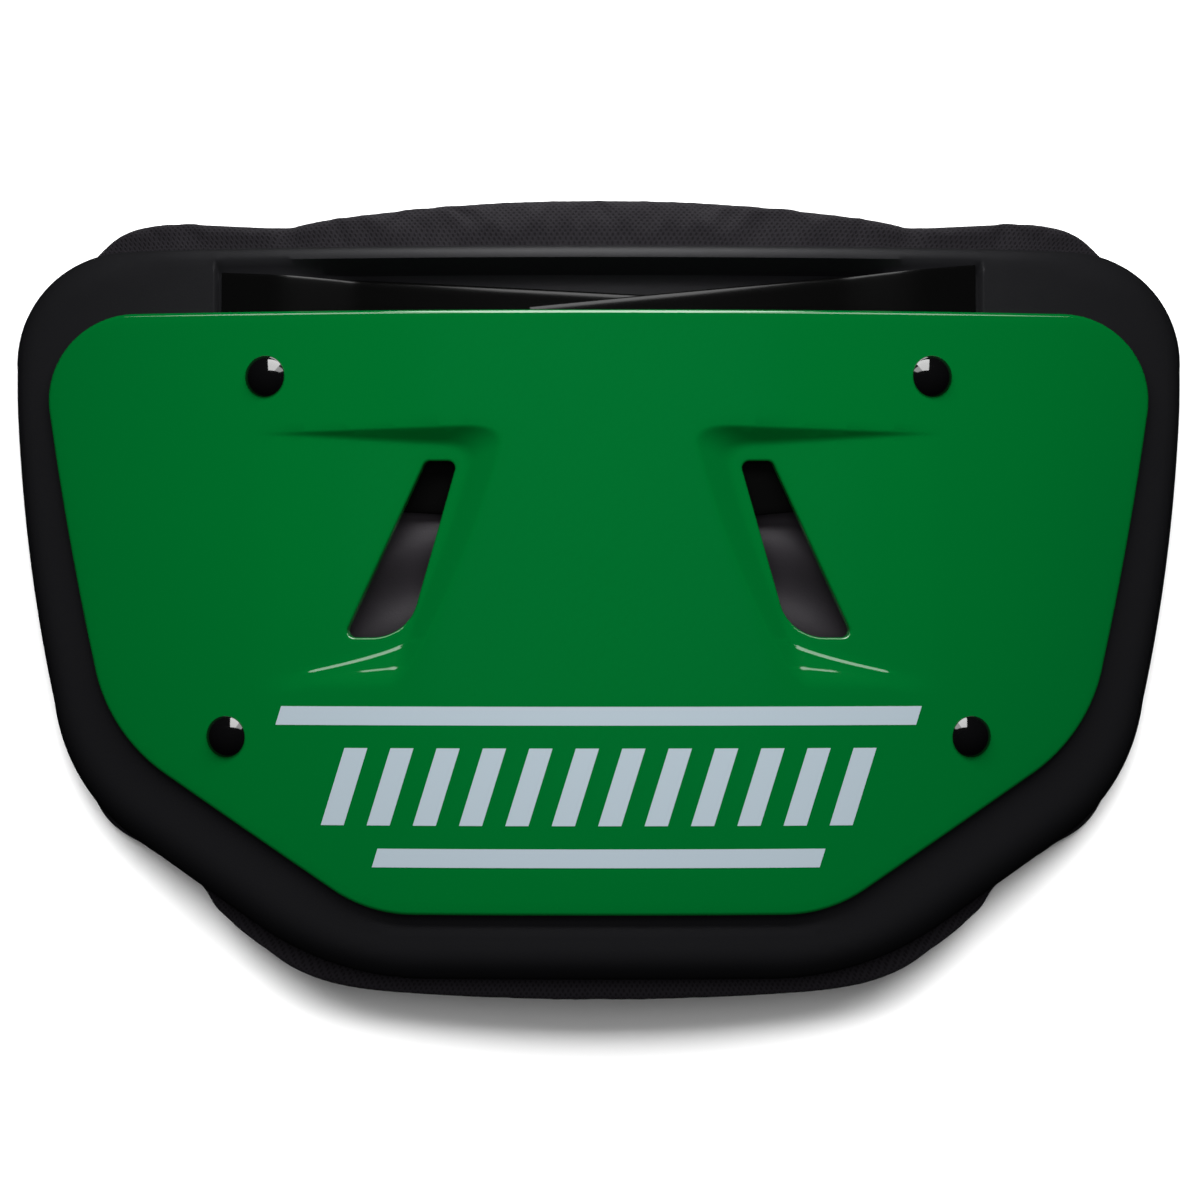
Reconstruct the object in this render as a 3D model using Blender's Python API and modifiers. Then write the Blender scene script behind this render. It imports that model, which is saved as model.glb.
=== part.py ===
"""Football back plate: a glossy hard shell riveted to a moulded foam tray, with a puffed pad behind it.

Every piece is laid out in the plate's own frame: x across, v up the plate and w out from the wearer.
The layout is then wrapped round the bend of the lower back, and the plate is laid down as it rests.
Lengths are in metres and angles in radians.
"""

import math

import bmesh
import bpy
import numpy as np
from mathutils import Matrix, Vector
from mathutils.geometry import delaunay_2d_cdt

# Bend of the whole plate: round the back, and the slighter bow from top to bottom
BEND_RADIUS = 0.300
BOW_RADIUS = 0.900

# Clearances
SEAT_GAP = 0.0003
HOLE_CLEARANCE = 0.0004
STRAP_END_CLEARANCE = 0.003
PAD_TRAY_CLEARANCE = 0.0010

# Shell outline, measured from the middle of the plate
SHELL_TOP = 0.0843
SHELL_BOTTOM = 0.0840
SHELL_HALF_WIDTH = 0.1400
SHELL_TAPER = math.radians(10.2)
SHELL_BOTTOM_HALF = 0.0619
SHELL_DIAGONAL = math.radians(34.8)
SHELL_SIDE_BULGE = 0.0006
SHELL_TOP_RADIUS = 0.024
SHELL_LOWER_RADIUS = 0.048
SHELL_BOTTOM_RADIUS = 0.038
SHELL_THICKNESS = 0.0030
SHELL_EDGE_ROUND = 0.0012

# Scoops pressed into the shell, one each side, deepest towards the middle
SCOOP_DEPTH = 0.0050
SCOOP_RIVET_MARGIN = 0.0017
SCOOP_FULL = 0.0400
SCOOP_TOP = 0.0525
SCOOP_TOP_WALL = 0.0060
SCOOP_BOTTOM = -0.0172
SCOOP_BOTTOM_WALL = 0.0060
SCOOP_INNER_TOP = 0.0268
SCOOP_INNER_BOTTOM = 0.0460
SCOOP_INNER_WALL = 0.0095

# Vents cut through the deep end of each scoop
VENT_TOP = 0.0425
VENT_BOTTOM = -0.0068
VENT_INNER_TOP = 0.0385
VENT_OUTER_TOP = 0.0472
VENT_INNER_BOTTOM = 0.0520
VENT_OUTER_BOTTOM = 0.0690
VENT_CORNER = 0.0020
VENT_SWEEP = 0.0105

# Tray: the foam body, with its rolled rim outside the shell and its basin under it
RIM_TOP = 0.0192
RIM_SIDE = 0.0171
RIM_DIAGONAL = 0.0234
RIM_BOTTOM = 0.0197
TRAY_TAPER = math.radians(6.6)
TRAY_SIDE_BULGE = 0.0024
TRAY_TOP_RADIUS = 0.031
TRAY_LOWER_RADIUS = 0.055
TRAY_BOTTOM_RADIUS = 0.085
TRAY_FLOOR = 0.0035
LEDGE_WIDTH = 0.0090
BASIN_WALL = 0.0100
OUTLET_END_WALL = 0.0040
FLOOR_WAVE = 0.0006
FLOOR_WAVE_LENGTH = 0.0120

# Pad
PAD_THICKNESS = 0.0150
PAD_EDGE = 0.0060
PAD_LIP = 0.0020
PAD_PUFF = 0.0260
PAD_GROOVE_TOP = 0.0900
PAD_GROOVE_BOTTOM = 0.1085
PAD_GROOVE_HALF = 0.0110
PAD_GROOVE_DEPTH = 0.0080
PAD_FLATTENED = 0.0012

# Straps tucked between shell and tray
STRAP_WIDTH = 0.0640
STRAP_THICKNESS = 0.0018
STRAP_PAST_RIVET = 0.0133
STRAP_PAST_MIDDLE = 0.0190
STRAP_RAMP = 0.0240
STRAP_SCOOP_CLEARANCE = 0.0020
STRAP_LEFT_SLOPE = math.radians(3.2)
STRAP_RIGHT_SLOPE = math.radians(5.7)
STRAP_LEFT_OVER_RIVET = 0.0289
STRAP_RIGHT_OVER_RIVET = 0.0305

# Rivets, placed from the shell's widest line and from its top and bottom edges
RIVET_HEAD_RADIUS = 0.0060
RIVET_HEAD_HEIGHT = 0.0032
RIVET_SHANK_RADIUS = 0.0026
RIVET_FOOT_RADIUS = 0.0075
RIVET_FOOT_THICKNESS = 0.0014
RIVET_UPPER_INSET = 0.0503
RIVET_UPPER_DROP = 0.0183
RIVET_LOWER_INSET = 0.0397
RIVET_LOWER_RISE = 0.0495
BOSS_RADIUS = 0.0100
BOSS_SKIRT = 0.0060

# Densities, which settle how the plate lies
SHELL_DENSITY = 1050.0
TRAY_DENSITY = 120.0
PAD_DENSITY = 70.0

# Facets
ARC_STEPS = 7
STRAIGHT_STEP = 0.0125
FINE_STEP = 0.0065
COARSE_STEP = 0.0125
PAD_STEP = 0.0150
STRAP_FACETS = 4
ROUND_SIDES = 12
DOME_STEPS = 4
SLIVER = 0.00002

# Places that follow: the scoops end short of the upper rivets, which hold the straps
RIVET_UPPER = (SHELL_HALF_WIDTH - RIVET_UPPER_INSET, SHELL_TOP - RIVET_UPPER_DROP)
RIVET_LOWER = (SHELL_HALF_WIDTH - RIVET_LOWER_INSET, RIVET_LOWER_RISE - SHELL_BOTTOM)
SCOOP_OUTER = RIVET_UPPER[0] - SCOOP_RIVET_MARGIN
STRAP_OUTER_END = RIVET_UPPER[0] + STRAP_PAST_RIVET
STRAP_LEFT_TOP = RIVET_UPPER[1] + STRAP_LEFT_OVER_RIVET
STRAP_RIGHT_TOP = RIVET_UPPER[1] + STRAP_RIGHT_OVER_RIVET

# Heights that follow: the shell clears the floor by two straps and a scoop
STRAP_LOW = TRAY_FLOOR + FLOOR_WAVE + SEAT_GAP
STRAP_HIGH = STRAP_LOW + STRAP_THICKNESS + SEAT_GAP
SHELL_BACK = STRAP_HIGH + STRAP_THICKNESS + SEAT_GAP + SCOOP_DEPTH
SHELL_FRONT = SHELL_BACK + SHELL_THICKNESS
LEDGE = SHELL_BACK - SEAT_GAP
STRAP_LAND_HEIGHT = LEDGE - STRAP_THICKNESS - SEAT_GAP
STRAP_LAND_INNER = SCOOP_OUTER + STRAP_SCOOP_CLEARANCE
TRAY_TOP = SHELL_TOP + RIM_TOP
TRAY_BOTTOM = SHELL_BOTTOM + RIM_BOTTOM
TRAY_HALF_WIDTH = SHELL_HALF_WIDTH + RIM_SIDE

# The rim from its outer edge (share 0) to the shell's edge (share 1), as shares of the ledge's height
RIM_PROFILE = (
    {"across": 0.00, "height": 0.24},
    {"across": 0.06, "height": 0.55},
    {"across": 0.16, "height": 0.76},
    {"across": 0.32, "height": 0.91},
    {"across": 0.60, "height": 0.985},
    {"across": 1.00, "height": 1.00},
)
# The same strip above the shell, where the straps come out: an outer ridge, then down to the floor
OUTLET_PROFILE = (
    {"across": 0.00, "height": 0.24},
    {"across": 0.06, "height": 0.55},
    {"across": 0.16, "height": 0.76},
    {"across": 0.32, "height": 0.00},
    {"across": 1.00, "height": 0.00},
)
# Right half of the pad's edge from the top middle round to the bottom middle,
# as shares of the tray's half width and of its reach above or below the middle
PAD_EDGE_POINTS = (
    {"across": 0.000, "up": 1.137},
    {"across": 0.190, "up": 1.131},
    {"across": 0.370, "up": 1.110},
    {"across": 0.490, "up": 1.090},
    {"across": 0.575, "up": 1.070},
    {"across": 0.650, "up": 1.074},
    {"across": 0.735, "up": 1.082},
    {"across": 0.812, "up": 1.083},
    {"across": 0.886, "up": 1.052},
    {"across": 0.968, "up": 0.945},
    {"across": 1.030, "up": 0.770},
    {"across": 1.050, "up": 0.500},
    {"across": 1.028, "up": 0.150},
    {"across": 0.993, "up": -0.180},
    {"across": 0.964, "up": -0.380},
    {"across": 0.940, "up": -0.500},
    {"across": 0.900, "up": -0.590},
    {"across": 0.835, "up": -0.655},
    {"across": 0.765, "up": -0.722},
    {"across": 0.728, "up": -0.765},
    {"across": 0.690, "up": -0.840},
    {"across": 0.618, "up": -0.920},
    {"across": 0.545, "up": -0.992},
    {"across": 0.440, "up": -1.036},
    {"across": 0.250, "up": -1.056},
    {"across": 0.000, "up": -1.064},
)


def clear_scene():
    """Remove every object, so that the part starts from nothing."""
    for obj in list(bpy.data.objects):
        bpy.data.objects.remove(obj, do_unlink=True)


def material(name, colour, roughness, metallic=0.0):
    """A Principled material of one colour."""
    made = bpy.data.materials.new(name)
    made.use_nodes = True
    shader = made.node_tree.nodes["Principled BSDF"]
    shader.inputs["Base Color"].default_value = (*colour, 1.0)
    shader.inputs["Roughness"].default_value = roughness
    shader.inputs["Metallic"].default_value = metallic
    return made


def ease(share):
    """A smooth step from 0 to 1 for a share from 0 to 1."""
    share = min(max(share, 0.0), 1.0)
    return share * share * (3.0 - 2.0 * share)


def ramp(value, start, end):
    """0 at start, 1 at end, straight between them."""
    return min(max((value - start) / (end - start), 0.0), 1.0)


def profile_height(rows, across):
    """Height read off a profile table at a share across."""
    return float(np.interp(across, [r["across"] for r in rows], [r["height"] for r in rows]))


def bend(x, v, w):
    """Wrap a point of the flat layout round the bend and the bow."""
    turn = math.asin(x / BEND_RADIUS)
    on = Vector((x, v, BEND_RADIUS * (math.cos(turn) - 1.0) - v * v / (2.0 * BOW_RADIUS)))
    out = Vector((math.sin(turn), math.cos(turn) * v / BOW_RADIUS, math.cos(turn)))
    return on + w * out.normalized()


def outward(x, v):
    """The plate's outward direction at a point of the layout."""
    return (bend(x, v, 1.0) - bend(x, v, 0.0)).normalized()


def crossing(first, second):
    """Where two lines cross; a line is a normal and its distance from the middle."""
    (ax, av), a = first
    (bx, bv), b = second
    det = ax * bv - av * bx
    return Vector(((a * bv - b * av) / det, (ax * b - bx * a) / det))


def straight(start, end, bulge=0.0):
    """Points from start up to but not including end, bulged sideways by an arc."""
    along = end - start
    side = Vector((-along.y, along.x)).normalized()
    count = max(2, round(along.length / STRAIGHT_STEP))
    shares = [step / count for step in range(count)]
    return [start + along * s + side * (4.0 * bulge * s * (1.0 - s)) for s in shares]


def rounded(before, corner, after, radius):
    """Points of the arc that rounds a corner."""
    back = (before - corner).normalized()
    ahead = (after - corner).normalized()
    half = back.angle(ahead) / 2.0
    reach = radius / math.tan(half)
    middle = corner + (back + ahead).normalized() * (radius / math.sin(half))
    start = corner + back * reach - middle
    end = corner + ahead * reach - middle
    turn = start.angle_signed(end)
    points = []
    for step in range(ARC_STEPS + 1):
        turned = start.copy()
        turned.rotate(Matrix.Rotation(-turn * step / ARC_STEPS, 2))
        points.append(middle + turned)
    return points


def plate_outline(lines, radii, bulge):
    """A symmetric outline from its top, side, diagonal and bottom lines, clockwise from the top middle."""
    corners = [crossing(a, b) for a, b in zip(lines, lines[1:])]
    top = Vector((0.0, lines[0][1]))
    bottom = Vector((0.0, -lines[-1][1]))
    path = [top, *corners, bottom]
    arcs = [rounded(*path[i : i + 3], radii[i]) for i in range(len(corners))]
    half = straight(top, arcs[0][0])
    half += arcs[0] + straight(arcs[0][-1], arcs[1][0], bulge)[1:]
    half += arcs[1] + straight(arcs[1][-1], arcs[2][0])[1:]
    half += arcs[2] + straight(arcs[2][-1], bottom)[1:]
    return mirrored_loop(half + [bottom])


def mirrored_loop(half):
    """Close a right half that runs from the top middle to the bottom middle."""
    return half + [Vector((-p.x, p.y)) for p in half[-2:0:-1]]


def edge_lines(rim_top, rim_side, rim_diagonal, rim_bottom, taper):
    """The four lines of an outline that lies outside the shell's by the given rims."""
    diagonal = (math.sin(SHELL_DIAGONAL), -math.cos(SHELL_DIAGONAL))
    lean = (math.cos(taper), -math.sin(taper))
    shell_diagonal = diagonal[0] * SHELL_BOTTOM_HALF - diagonal[1] * SHELL_BOTTOM
    return (
        ((0.0, 1.0), SHELL_TOP + rim_top),
        (lean, (SHELL_HALF_WIDTH + rim_side) * lean[0]),
        (diagonal, shell_diagonal + rim_diagonal),
        ((0.0, -1.0), SHELL_BOTTOM + rim_bottom),
    )


def shell_outline():
    """The shell's edge."""
    lines = edge_lines(0.0, 0.0, 0.0, 0.0, SHELL_TAPER)
    radii = (SHELL_TOP_RADIUS, SHELL_LOWER_RADIUS, SHELL_BOTTOM_RADIUS)
    return plate_outline(lines, radii, SHELL_SIDE_BULGE)


def tray_outline():
    """The tray's edge, outside the shell's by the rim."""
    lines = edge_lines(RIM_TOP, RIM_SIDE, RIM_DIAGONAL, RIM_BOTTOM, TRAY_TAPER)
    radii = (TRAY_TOP_RADIUS, TRAY_LOWER_RADIUS, TRAY_BOTTOM_RADIUS)
    return plate_outline(lines, radii, TRAY_SIDE_BULGE)


def smooth_through(points, steps):
    """Points of a Catmull-Rom curve through the given ones, the last one included."""
    padded = [points[0] * 2.0 - points[1], *points, points[-1] * 2.0 - points[-2]]
    curve = []
    for a, b, c, d in zip(padded, padded[1:], padded[2:], padded[3:]):
        for step in range(steps):
            t = step / steps
            curve.append(
                0.5 * (2.0 * b + (c - a) * t + (2.0 * a - 5.0 * b + 4.0 * c - d) * t * t
                       + (3.0 * b - a - 3.0 * c + d) * t ** 3)
            )
    return curve + [points[-1]]


def pad_outline():
    """The pad's wavy edge of three panels."""
    half = []
    for row in PAD_EDGE_POINTS:
        reach = TRAY_TOP if row["up"] > 0.0 else TRAY_BOTTOM
        half.append(Vector((row["across"] * TRAY_HALF_WIDTH, row["up"] * reach)))
    curve = smooth_through(half, 2)
    curve[0].x = curve[-1].x = 0.0
    return mirrored_loop(curve)


class Edge:
    """A closed outline that measures how far a point lies from it."""

    def __init__(self, points):
        self.points = points
        self.start = np.array([tuple(p) for p in points])
        self.along = np.roll(self.start, -1, axis=0) - self.start
        self.square = (self.along ** 2).sum(axis=1)

    def distance(self, x, v):
        """Distance from the outline, positive inside it."""
        offset = np.array((x, v)) - self.start
        share = np.clip((offset * self.along).sum(axis=1) / self.square, 0.0, 1.0)
        gap = offset - self.along * share[:, None]
        nearest = float(np.sqrt((gap ** 2).sum(axis=1)).min())
        return nearest if self.holds(x, v) else -nearest

    def holds(self, x, v):
        """Whether a point is inside, by counting the edges above it."""
        x0, v0 = self.start[:, 0], self.start[:, 1]
        x1, v1 = x0 + self.along[:, 0], v0 + self.along[:, 1]
        spans = (x0 > x) != (x1 > x)
        with np.errstate(divide="ignore", invalid="ignore"):
            above = v0 + (x - x0) / (x1 - x0) * (v1 - v0) > v
        return bool((spans & above).sum() % 2)

    def inset(self, depth):
        """The outline moved inwards by depth."""
        moved = []
        count = len(self.points)
        for i, point in enumerate(self.points):
            along = self.points[(i + 1) % count] - self.points[i - 1]
            inward = Vector((along.y, -along.x)).normalized()
            moved.append(point + inward * depth)
        return moved


def circle(centre, radius, sides=ROUND_SIDES):
    """A round loop of points."""
    turns = [2.0 * math.pi * (k + 0.5) / sides for k in range(sides)]
    return [Vector((centre[0] + radius * math.cos(t), centre[1] + radius * math.sin(t))) for t in turns]


def rivet_places():
    """Node name and place of each rivet."""
    places = {}
    for row, (x, v) in (("upper", RIVET_UPPER), ("lower", RIVET_LOWER)):
        places[f"rivet_{row}_left"] = (-x, v)
        places[f"rivet_{row}_right"] = (x, v)
    return places


def rivet_holes(radius):
    """A round hole at each rivet."""
    return [circle(place, radius) for place in rivet_places().values()]


def vent_loop(side):
    """The slanted vent: straight flanks, with the inner one sweeping out to the foot."""
    corners = [
        Vector((VENT_OUTER_TOP, VENT_TOP)),
        Vector((VENT_INNER_TOP, VENT_TOP)),
        Vector((VENT_INNER_BOTTOM, VENT_BOTTOM)),
        Vector((VENT_OUTER_BOTTOM, VENT_BOTTOM)),
    ]
    radii = (VENT_CORNER, VENT_CORNER, VENT_SWEEP, VENT_CORNER)
    loop = []
    for i, radius in enumerate(radii):
        before, after = corners[i - 1], corners[(i + 1) % 4]
        arc = rounded(before, corners[i], after, radius)
        loop += arc if radius == VENT_SWEEP else arc[:: ARC_STEPS // 2]
    return [Vector((side * p.x, p.y)) for p in loop]


def scoop_inner(v):
    """Where the inner wall of a scoop starts, which slants as its vent does."""
    share = (SCOOP_TOP - v) / (SCOOP_TOP - SCOOP_BOTTOM)
    return SCOOP_INNER_TOP + share * (SCOOP_INNER_BOTTOM - SCOOP_INNER_TOP)


def scoop_depth(x, v):
    """How far the shell is pressed in at a point."""
    x = abs(x)
    fall = ramp(x, SCOOP_OUTER, SCOOP_FULL)
    top = ramp(v, SCOOP_TOP, SCOOP_TOP - SCOOP_TOP_WALL)
    bottom = ramp(v, SCOOP_BOTTOM, SCOOP_BOTTOM + SCOOP_BOTTOM_WALL)
    inner = ramp(x, scoop_inner(v), scoop_inner(v) + SCOOP_INNER_WALL)
    return SCOOP_DEPTH * min(fall, top, bottom, inner)


def scoop_creases(side):
    """The edges and feet of a scoop's three walls, and the line where its fall starts."""
    inner_top, inner_bottom = scoop_inner(SCOOP_TOP), scoop_inner(SCOOP_BOTTOM)
    foot_top, foot_bottom = SCOOP_TOP - SCOOP_TOP_WALL, SCOOP_BOTTOM + SCOOP_BOTTOM_WALL
    lines = (
        ((inner_top, SCOOP_TOP), (SCOOP_OUTER, SCOOP_TOP)),
        ((scoop_inner(foot_top) + SCOOP_INNER_WALL, foot_top), (SCOOP_OUTER, SCOOP_TOP)),
        ((inner_top, SCOOP_TOP), (inner_bottom, SCOOP_BOTTOM)),
        ((scoop_inner(foot_top) + SCOOP_INNER_WALL, foot_top),
         (scoop_inner(foot_bottom) + SCOOP_INNER_WALL, foot_bottom)),
        ((inner_bottom, SCOOP_BOTTOM), (SCOOP_OUTER, SCOOP_BOTTOM)),
        ((scoop_inner(foot_bottom) + SCOOP_INNER_WALL, foot_bottom), (SCOOP_OUTER, SCOOP_BOTTOM)),
        ((SCOOP_OUTER, SCOOP_BOTTOM), (SCOOP_OUTER, SCOOP_TOP)),
    )
    made = []
    for start, end in lines:
        start, end = Vector((side * start[0], start[1])), Vector((side * end[0], end[1]))
        count = max(2, round((end - start).length / FINE_STEP))
        made.append([start.lerp(end, k / count) for k in range(count + 1)])
    return made


def net_points(step, low, high):
    """Points of a triangular net between two corners."""
    points = []
    rows = int((high[1] - low[1]) / (step * 0.87)) + 1
    columns = int((high[0] - low[0]) / step) + 1
    for j in range(rows):
        for i in range(columns + 1):
            shift = 0.5 * (j % 2)
            points.append((low[0] + (i + shift) * step, low[1] + j * step * 0.87))
    return points


def spread(lines, nets):
    """All points of a sheet's mesh: its lines first, then the net points that keep clear of them."""
    points = [tuple(p) for line in lines for p in line]
    for step, low, high in nets:
        taken = np.array(points)
        for x, v in net_points(step, low, high):
            near = np.hypot(taken[:, 0] - x, taken[:, 1] - v).min()
            if near > 0.62 * step:
                points.append((x, v))
    return points


def sheet_triangles(edge, holes, creases, nets):
    """Triangulate the inside of an edge, leaving the holes open and keeping the creases as edges."""
    loops = [edge.points, *holes]
    points = spread(loops + creases, nets)
    links = []
    first = 0
    for loop in loops:
        links += [(first + k, first + (k + 1) % len(loop)) for k in range(len(loop))]
        first += len(loop)
    for line in creases:
        links += [(first + k, first + k + 1) for k in range(len(line) - 1)]
        first += len(line)
    made = delaunay_2d_cdt([Vector(p) for p in points], links, [], 0, 1e-7)
    corners, triangles = made[0], made[2]
    openings = [Edge(hole) for hole in holes]
    kept = []
    for triangle in triangles:
        middle = sum((corners[k] for k in triangle), Vector((0.0, 0.0))) / 3.0
        if edge.distance(*middle) > SLIVER and not any(opening.holds(*middle) for opening in openings):
            kept.append(tuple(triangle))
    return corners, kept


def thick_sheet(name, edge, holes, creases, nets, front, back):
    """A closed solid between two heights over a triangulated sheet, wrapped round the bend."""
    corners, triangles = sheet_triangles(edge, holes, creases, nets)
    used = sorted({k for triangle in triangles for k in triangle})
    made = bmesh.new()
    upper = {k: made.verts.new(bend(*corners[k], front(*corners[k]))) for k in used}
    lower = {k: made.verts.new(bend(*corners[k], back(*corners[k]))) for k in used}
    sides = {}
    for a, b, c in triangles:
        made.faces.new((upper[a], upper[b], upper[c]))
        made.faces.new((lower[c], lower[b], lower[a]))
        for pair in ((a, b), (b, c), (c, a)):
            sides[pair] = sides.get(pair[::-1]) is None
    for a, b in list(sides):
        if (b, a) not in sides:
            made.faces.new((upper[b], upper[a], lower[a], lower[b]))
    bmesh.ops.recalc_face_normals(made, faces=made.faces)
    mesh = bpy.data.meshes.new(name)
    made.to_mesh(mesh)
    made.free()
    return bpy.data.objects.new(name, mesh)


def shell_front(edge):
    """Height of the shell's face, rolled over at its edge."""
    def height(x, v):
        roll = SHELL_EDGE_ROUND * (1.0 - ramp(edge.distance(x, v), 0.0, SHELL_EDGE_ROUND))
        return SHELL_FRONT - scoop_depth(x, v) - roll
    return height


def build_shell(finish):
    """The hard shell, with its scoops, vents and rivet holes."""
    edge = Edge(shell_outline())
    holes = rivet_holes(RIVET_SHANK_RADIUS + HOLE_CLEARANCE)
    holes += [vent_loop(side) for side in (-1, 1)]
    creases = [edge.inset(SHELL_EDGE_ROUND)]
    for side in (-1, 1):
        creases += clear_of_vent(scoop_creases(side), vent_loop(side))
    wide = (-SHELL_HALF_WIDTH * 1.2, -SHELL_BOTTOM)
    nets = [(COARSE_STEP, wide, (SHELL_HALF_WIDTH * 1.2, SHELL_TOP))]
    for side in (-1, 1):
        low = (min(side * SCOOP_INNER_TOP, side * SCOOP_OUTER), SCOOP_BOTTOM)
        high = (max(side * SCOOP_INNER_TOP, side * SCOOP_OUTER), SCOOP_TOP)
        nets.insert(0, (FINE_STEP, low, high))
    shell = thick_sheet(
        "shell", edge, holes, creases, nets, shell_front(edge),
        lambda x, v: SHELL_BACK - scoop_depth(x, v),
    )
    shell.data.materials.append(finish)
    return shell


def clear_of_vent(lines, vent):
    """The lines, with one that runs into a vent left as the points that keep clear of it."""
    opening = Edge(vent)
    kept = []
    for line in lines:
        clear = [p for p in line if opening.distance(*p) < -0.4 * FINE_STEP]
        kept += [line] if len(clear) == len(line) else [[p] for p in clear]
    return kept


def strap_top(side, x):
    """Height up the plate of a strap's upper edge."""
    slope = STRAP_LEFT_SLOPE if side < 0 else STRAP_RIGHT_SLOPE
    top = STRAP_LEFT_TOP if side < 0 else STRAP_RIGHT_TOP
    return top - (RIVET_UPPER[0] - side * x) * math.tan(slope)


def strap_rise(x, low):
    """Height of the underside of a strap: its own level, ramped up to the land at its rivet."""
    share = ramp(abs(x), STRAP_LAND_INNER - STRAP_RAMP, STRAP_LAND_INNER)
    return low + share * (STRAP_LAND_HEIGHT + SEAT_GAP - low)


def land_height(x, v, base):
    """The raised ground that carries a strap's riveted end."""
    rise = ramp(abs(x), STRAP_LAND_INNER - STRAP_RAMP, STRAP_LAND_INNER)
    bottom = STRAP_LEFT_TOP - STRAP_WIDTH
    within = ramp(v, bottom - 2.0 * BASIN_WALL, bottom - BASIN_WALL)
    return base + rise * within * (STRAP_LAND_HEIGHT - base)


class TrayFace:
    """Height of the tray's front: rolled rim, ledge, basin, strap land, bosses and outlet."""

    def __init__(self):
        self.outer = Edge(tray_outline())
        self.inner = Edge(shell_outline())

    def rim(self, x, v):
        """The rim outside the shell's edge, with the outlet above it."""
        to_outer = max(self.outer.distance(x, v), 0.0)
        to_inner = max(-self.inner.distance(x, v), 0.0)
        across = to_outer / max(to_outer + to_inner, 1e-9)
        plain = LEDGE * profile_height(RIM_PROFILE, across)
        if v < SHELL_TOP - SHELL_TOP_RADIUS:
            return plain
        floor = land_height(x, v, TRAY_FLOOR)
        ridge = LEDGE * profile_height(OUTLET_PROFILE, across)
        return plain + self.outlet(x) * (max(ridge, floor) - plain)

    def outlet(self, x):
        """1 where the straps come out over the shell's top edge, 0 beside them."""
        end = STRAP_OUTER_END + STRAP_END_CLEARANCE
        return ramp(abs(x), end + OUTLET_END_WALL, end)

    def basin(self, x, v):
        """The ground under the shell."""
        inset = self.inner.distance(x, v)
        floor = land_height(x, v, TRAY_FLOOR + FLOOR_WAVE * self.wave(x, v))
        share = ramp(inset, LEDGE_WIDTH, LEDGE_WIDTH + BASIN_WALL)
        if v > 0.0:
            share = max(share, self.outlet(x))
        return LEDGE + share * (floor - LEDGE)

    def wave(self, x, v):
        """Shallow ripples of the foam, which show through the vents."""
        below_strap = ramp(v, STRAP_LEFT_TOP - STRAP_WIDTH, STRAP_LEFT_TOP - STRAP_WIDTH - FINE_STEP)
        return below_strap * math.sin(2.0 * math.pi * v / FLOOR_WAVE_LENGTH)

    def height(self, x, v):
        """The tray's front at any point."""
        ground = self.rim(x, v) if self.inner.distance(x, v) < 0.0 else self.basin(x, v)
        away = math.hypot(abs(x) - RIVET_LOWER[0], v - RIVET_LOWER[1])
        return ground + ramp(away, BOSS_RADIUS + BOSS_SKIRT, BOSS_RADIUS) * (LEDGE - ground)


def strap_bay_lines():
    """Upright lines where the outlet's end walls and the ramps to the strap lands start and end."""
    end = STRAP_OUTER_END + STRAP_END_CLEARANCE
    foot = SHELL_TOP - LEDGE_WIDTH - BASIN_WALL
    strap_foot = STRAP_LEFT_TOP - STRAP_WIDTH
    rows = (
        (end, foot, TRAY_TOP - SHELL_EDGE_ROUND),
        (end + OUTLET_END_WALL, foot, TRAY_TOP - SHELL_EDGE_ROUND),
        (STRAP_LAND_INNER, strap_foot, TRAY_TOP - RIM_TOP * 0.32),
        (STRAP_LAND_INNER - STRAP_RAMP, strap_foot, TRAY_TOP - RIM_TOP * 0.32),
    )
    lines = []
    for side in (-1, 1):
        for x, start, stop in rows:
            count = max(1, round((stop - start) / COARSE_STEP))
            lines.append([Vector((side * x, start + (stop - start) * k / count)) for k in range(count + 1)])
    return lines


def rim_rings(outer, inner):
    """Rings across the rim, blended between the tray's edge and the shell's."""
    rings = []
    for share in sorted({row["across"] for row in RIM_PROFILE + OUTLET_PROFILE} - {0.0, 1.0}):
        rings.append([resample(outer, inner, k, share) for k in range(len(outer.points))])
    return rings


def resample(outer, inner, k, share):
    """The point a share of the way from one point of the tray's edge to the shell's edge."""
    point = outer.points[k]
    offset = np.array(tuple(point)) - inner.start
    along = np.clip((offset * inner.along).sum(axis=1) / inner.square, 0.0, 1.0)
    foot = inner.start + inner.along * along[:, None]
    nearest = int(np.hypot(*(foot - np.array(tuple(point))).T).argmin())
    return point.lerp(Vector(foot[nearest]), share)


def build_tray(finish):
    """The foam tray, with the feet of the rivets let into its back."""
    face = TrayFace()
    holes = rivet_holes(RIVET_SHANK_RADIUS + HOLE_CLEARANCE)
    closed = [ring + ring[:1] for ring in rim_rings(face.outer, face.inner)]
    creases = closed + [face.inner.points, face.inner.inset(LEDGE_WIDTH)]
    creases.append(face.inner.inset(LEDGE_WIDTH + BASIN_WALL))
    creases += strap_bay_lines()
    for side in (-1, 1):
        boss = circle((side * RIVET_LOWER[0], RIVET_LOWER[1]), BOSS_RADIUS)
        creases.append(boss + boss[:1])
    low = (-TRAY_HALF_WIDTH * 1.2, -TRAY_BOTTOM)
    nets = [(COARSE_STEP, low, (TRAY_HALF_WIDTH * 1.2, TRAY_TOP))]
    tray = thick_sheet("tray", face.outer, holes, creases, nets, face.height, lambda x, v: 0.0)
    tray.data.materials.append(finish)
    return tray


def groove_line(v):
    """How far out the flex groove of the pad lies at a height."""
    share = (TRAY_TOP - v) / (TRAY_TOP + TRAY_BOTTOM)
    return PAD_GROOVE_TOP + share * (PAD_GROOVE_BOTTOM - PAD_GROOVE_TOP)


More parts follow.
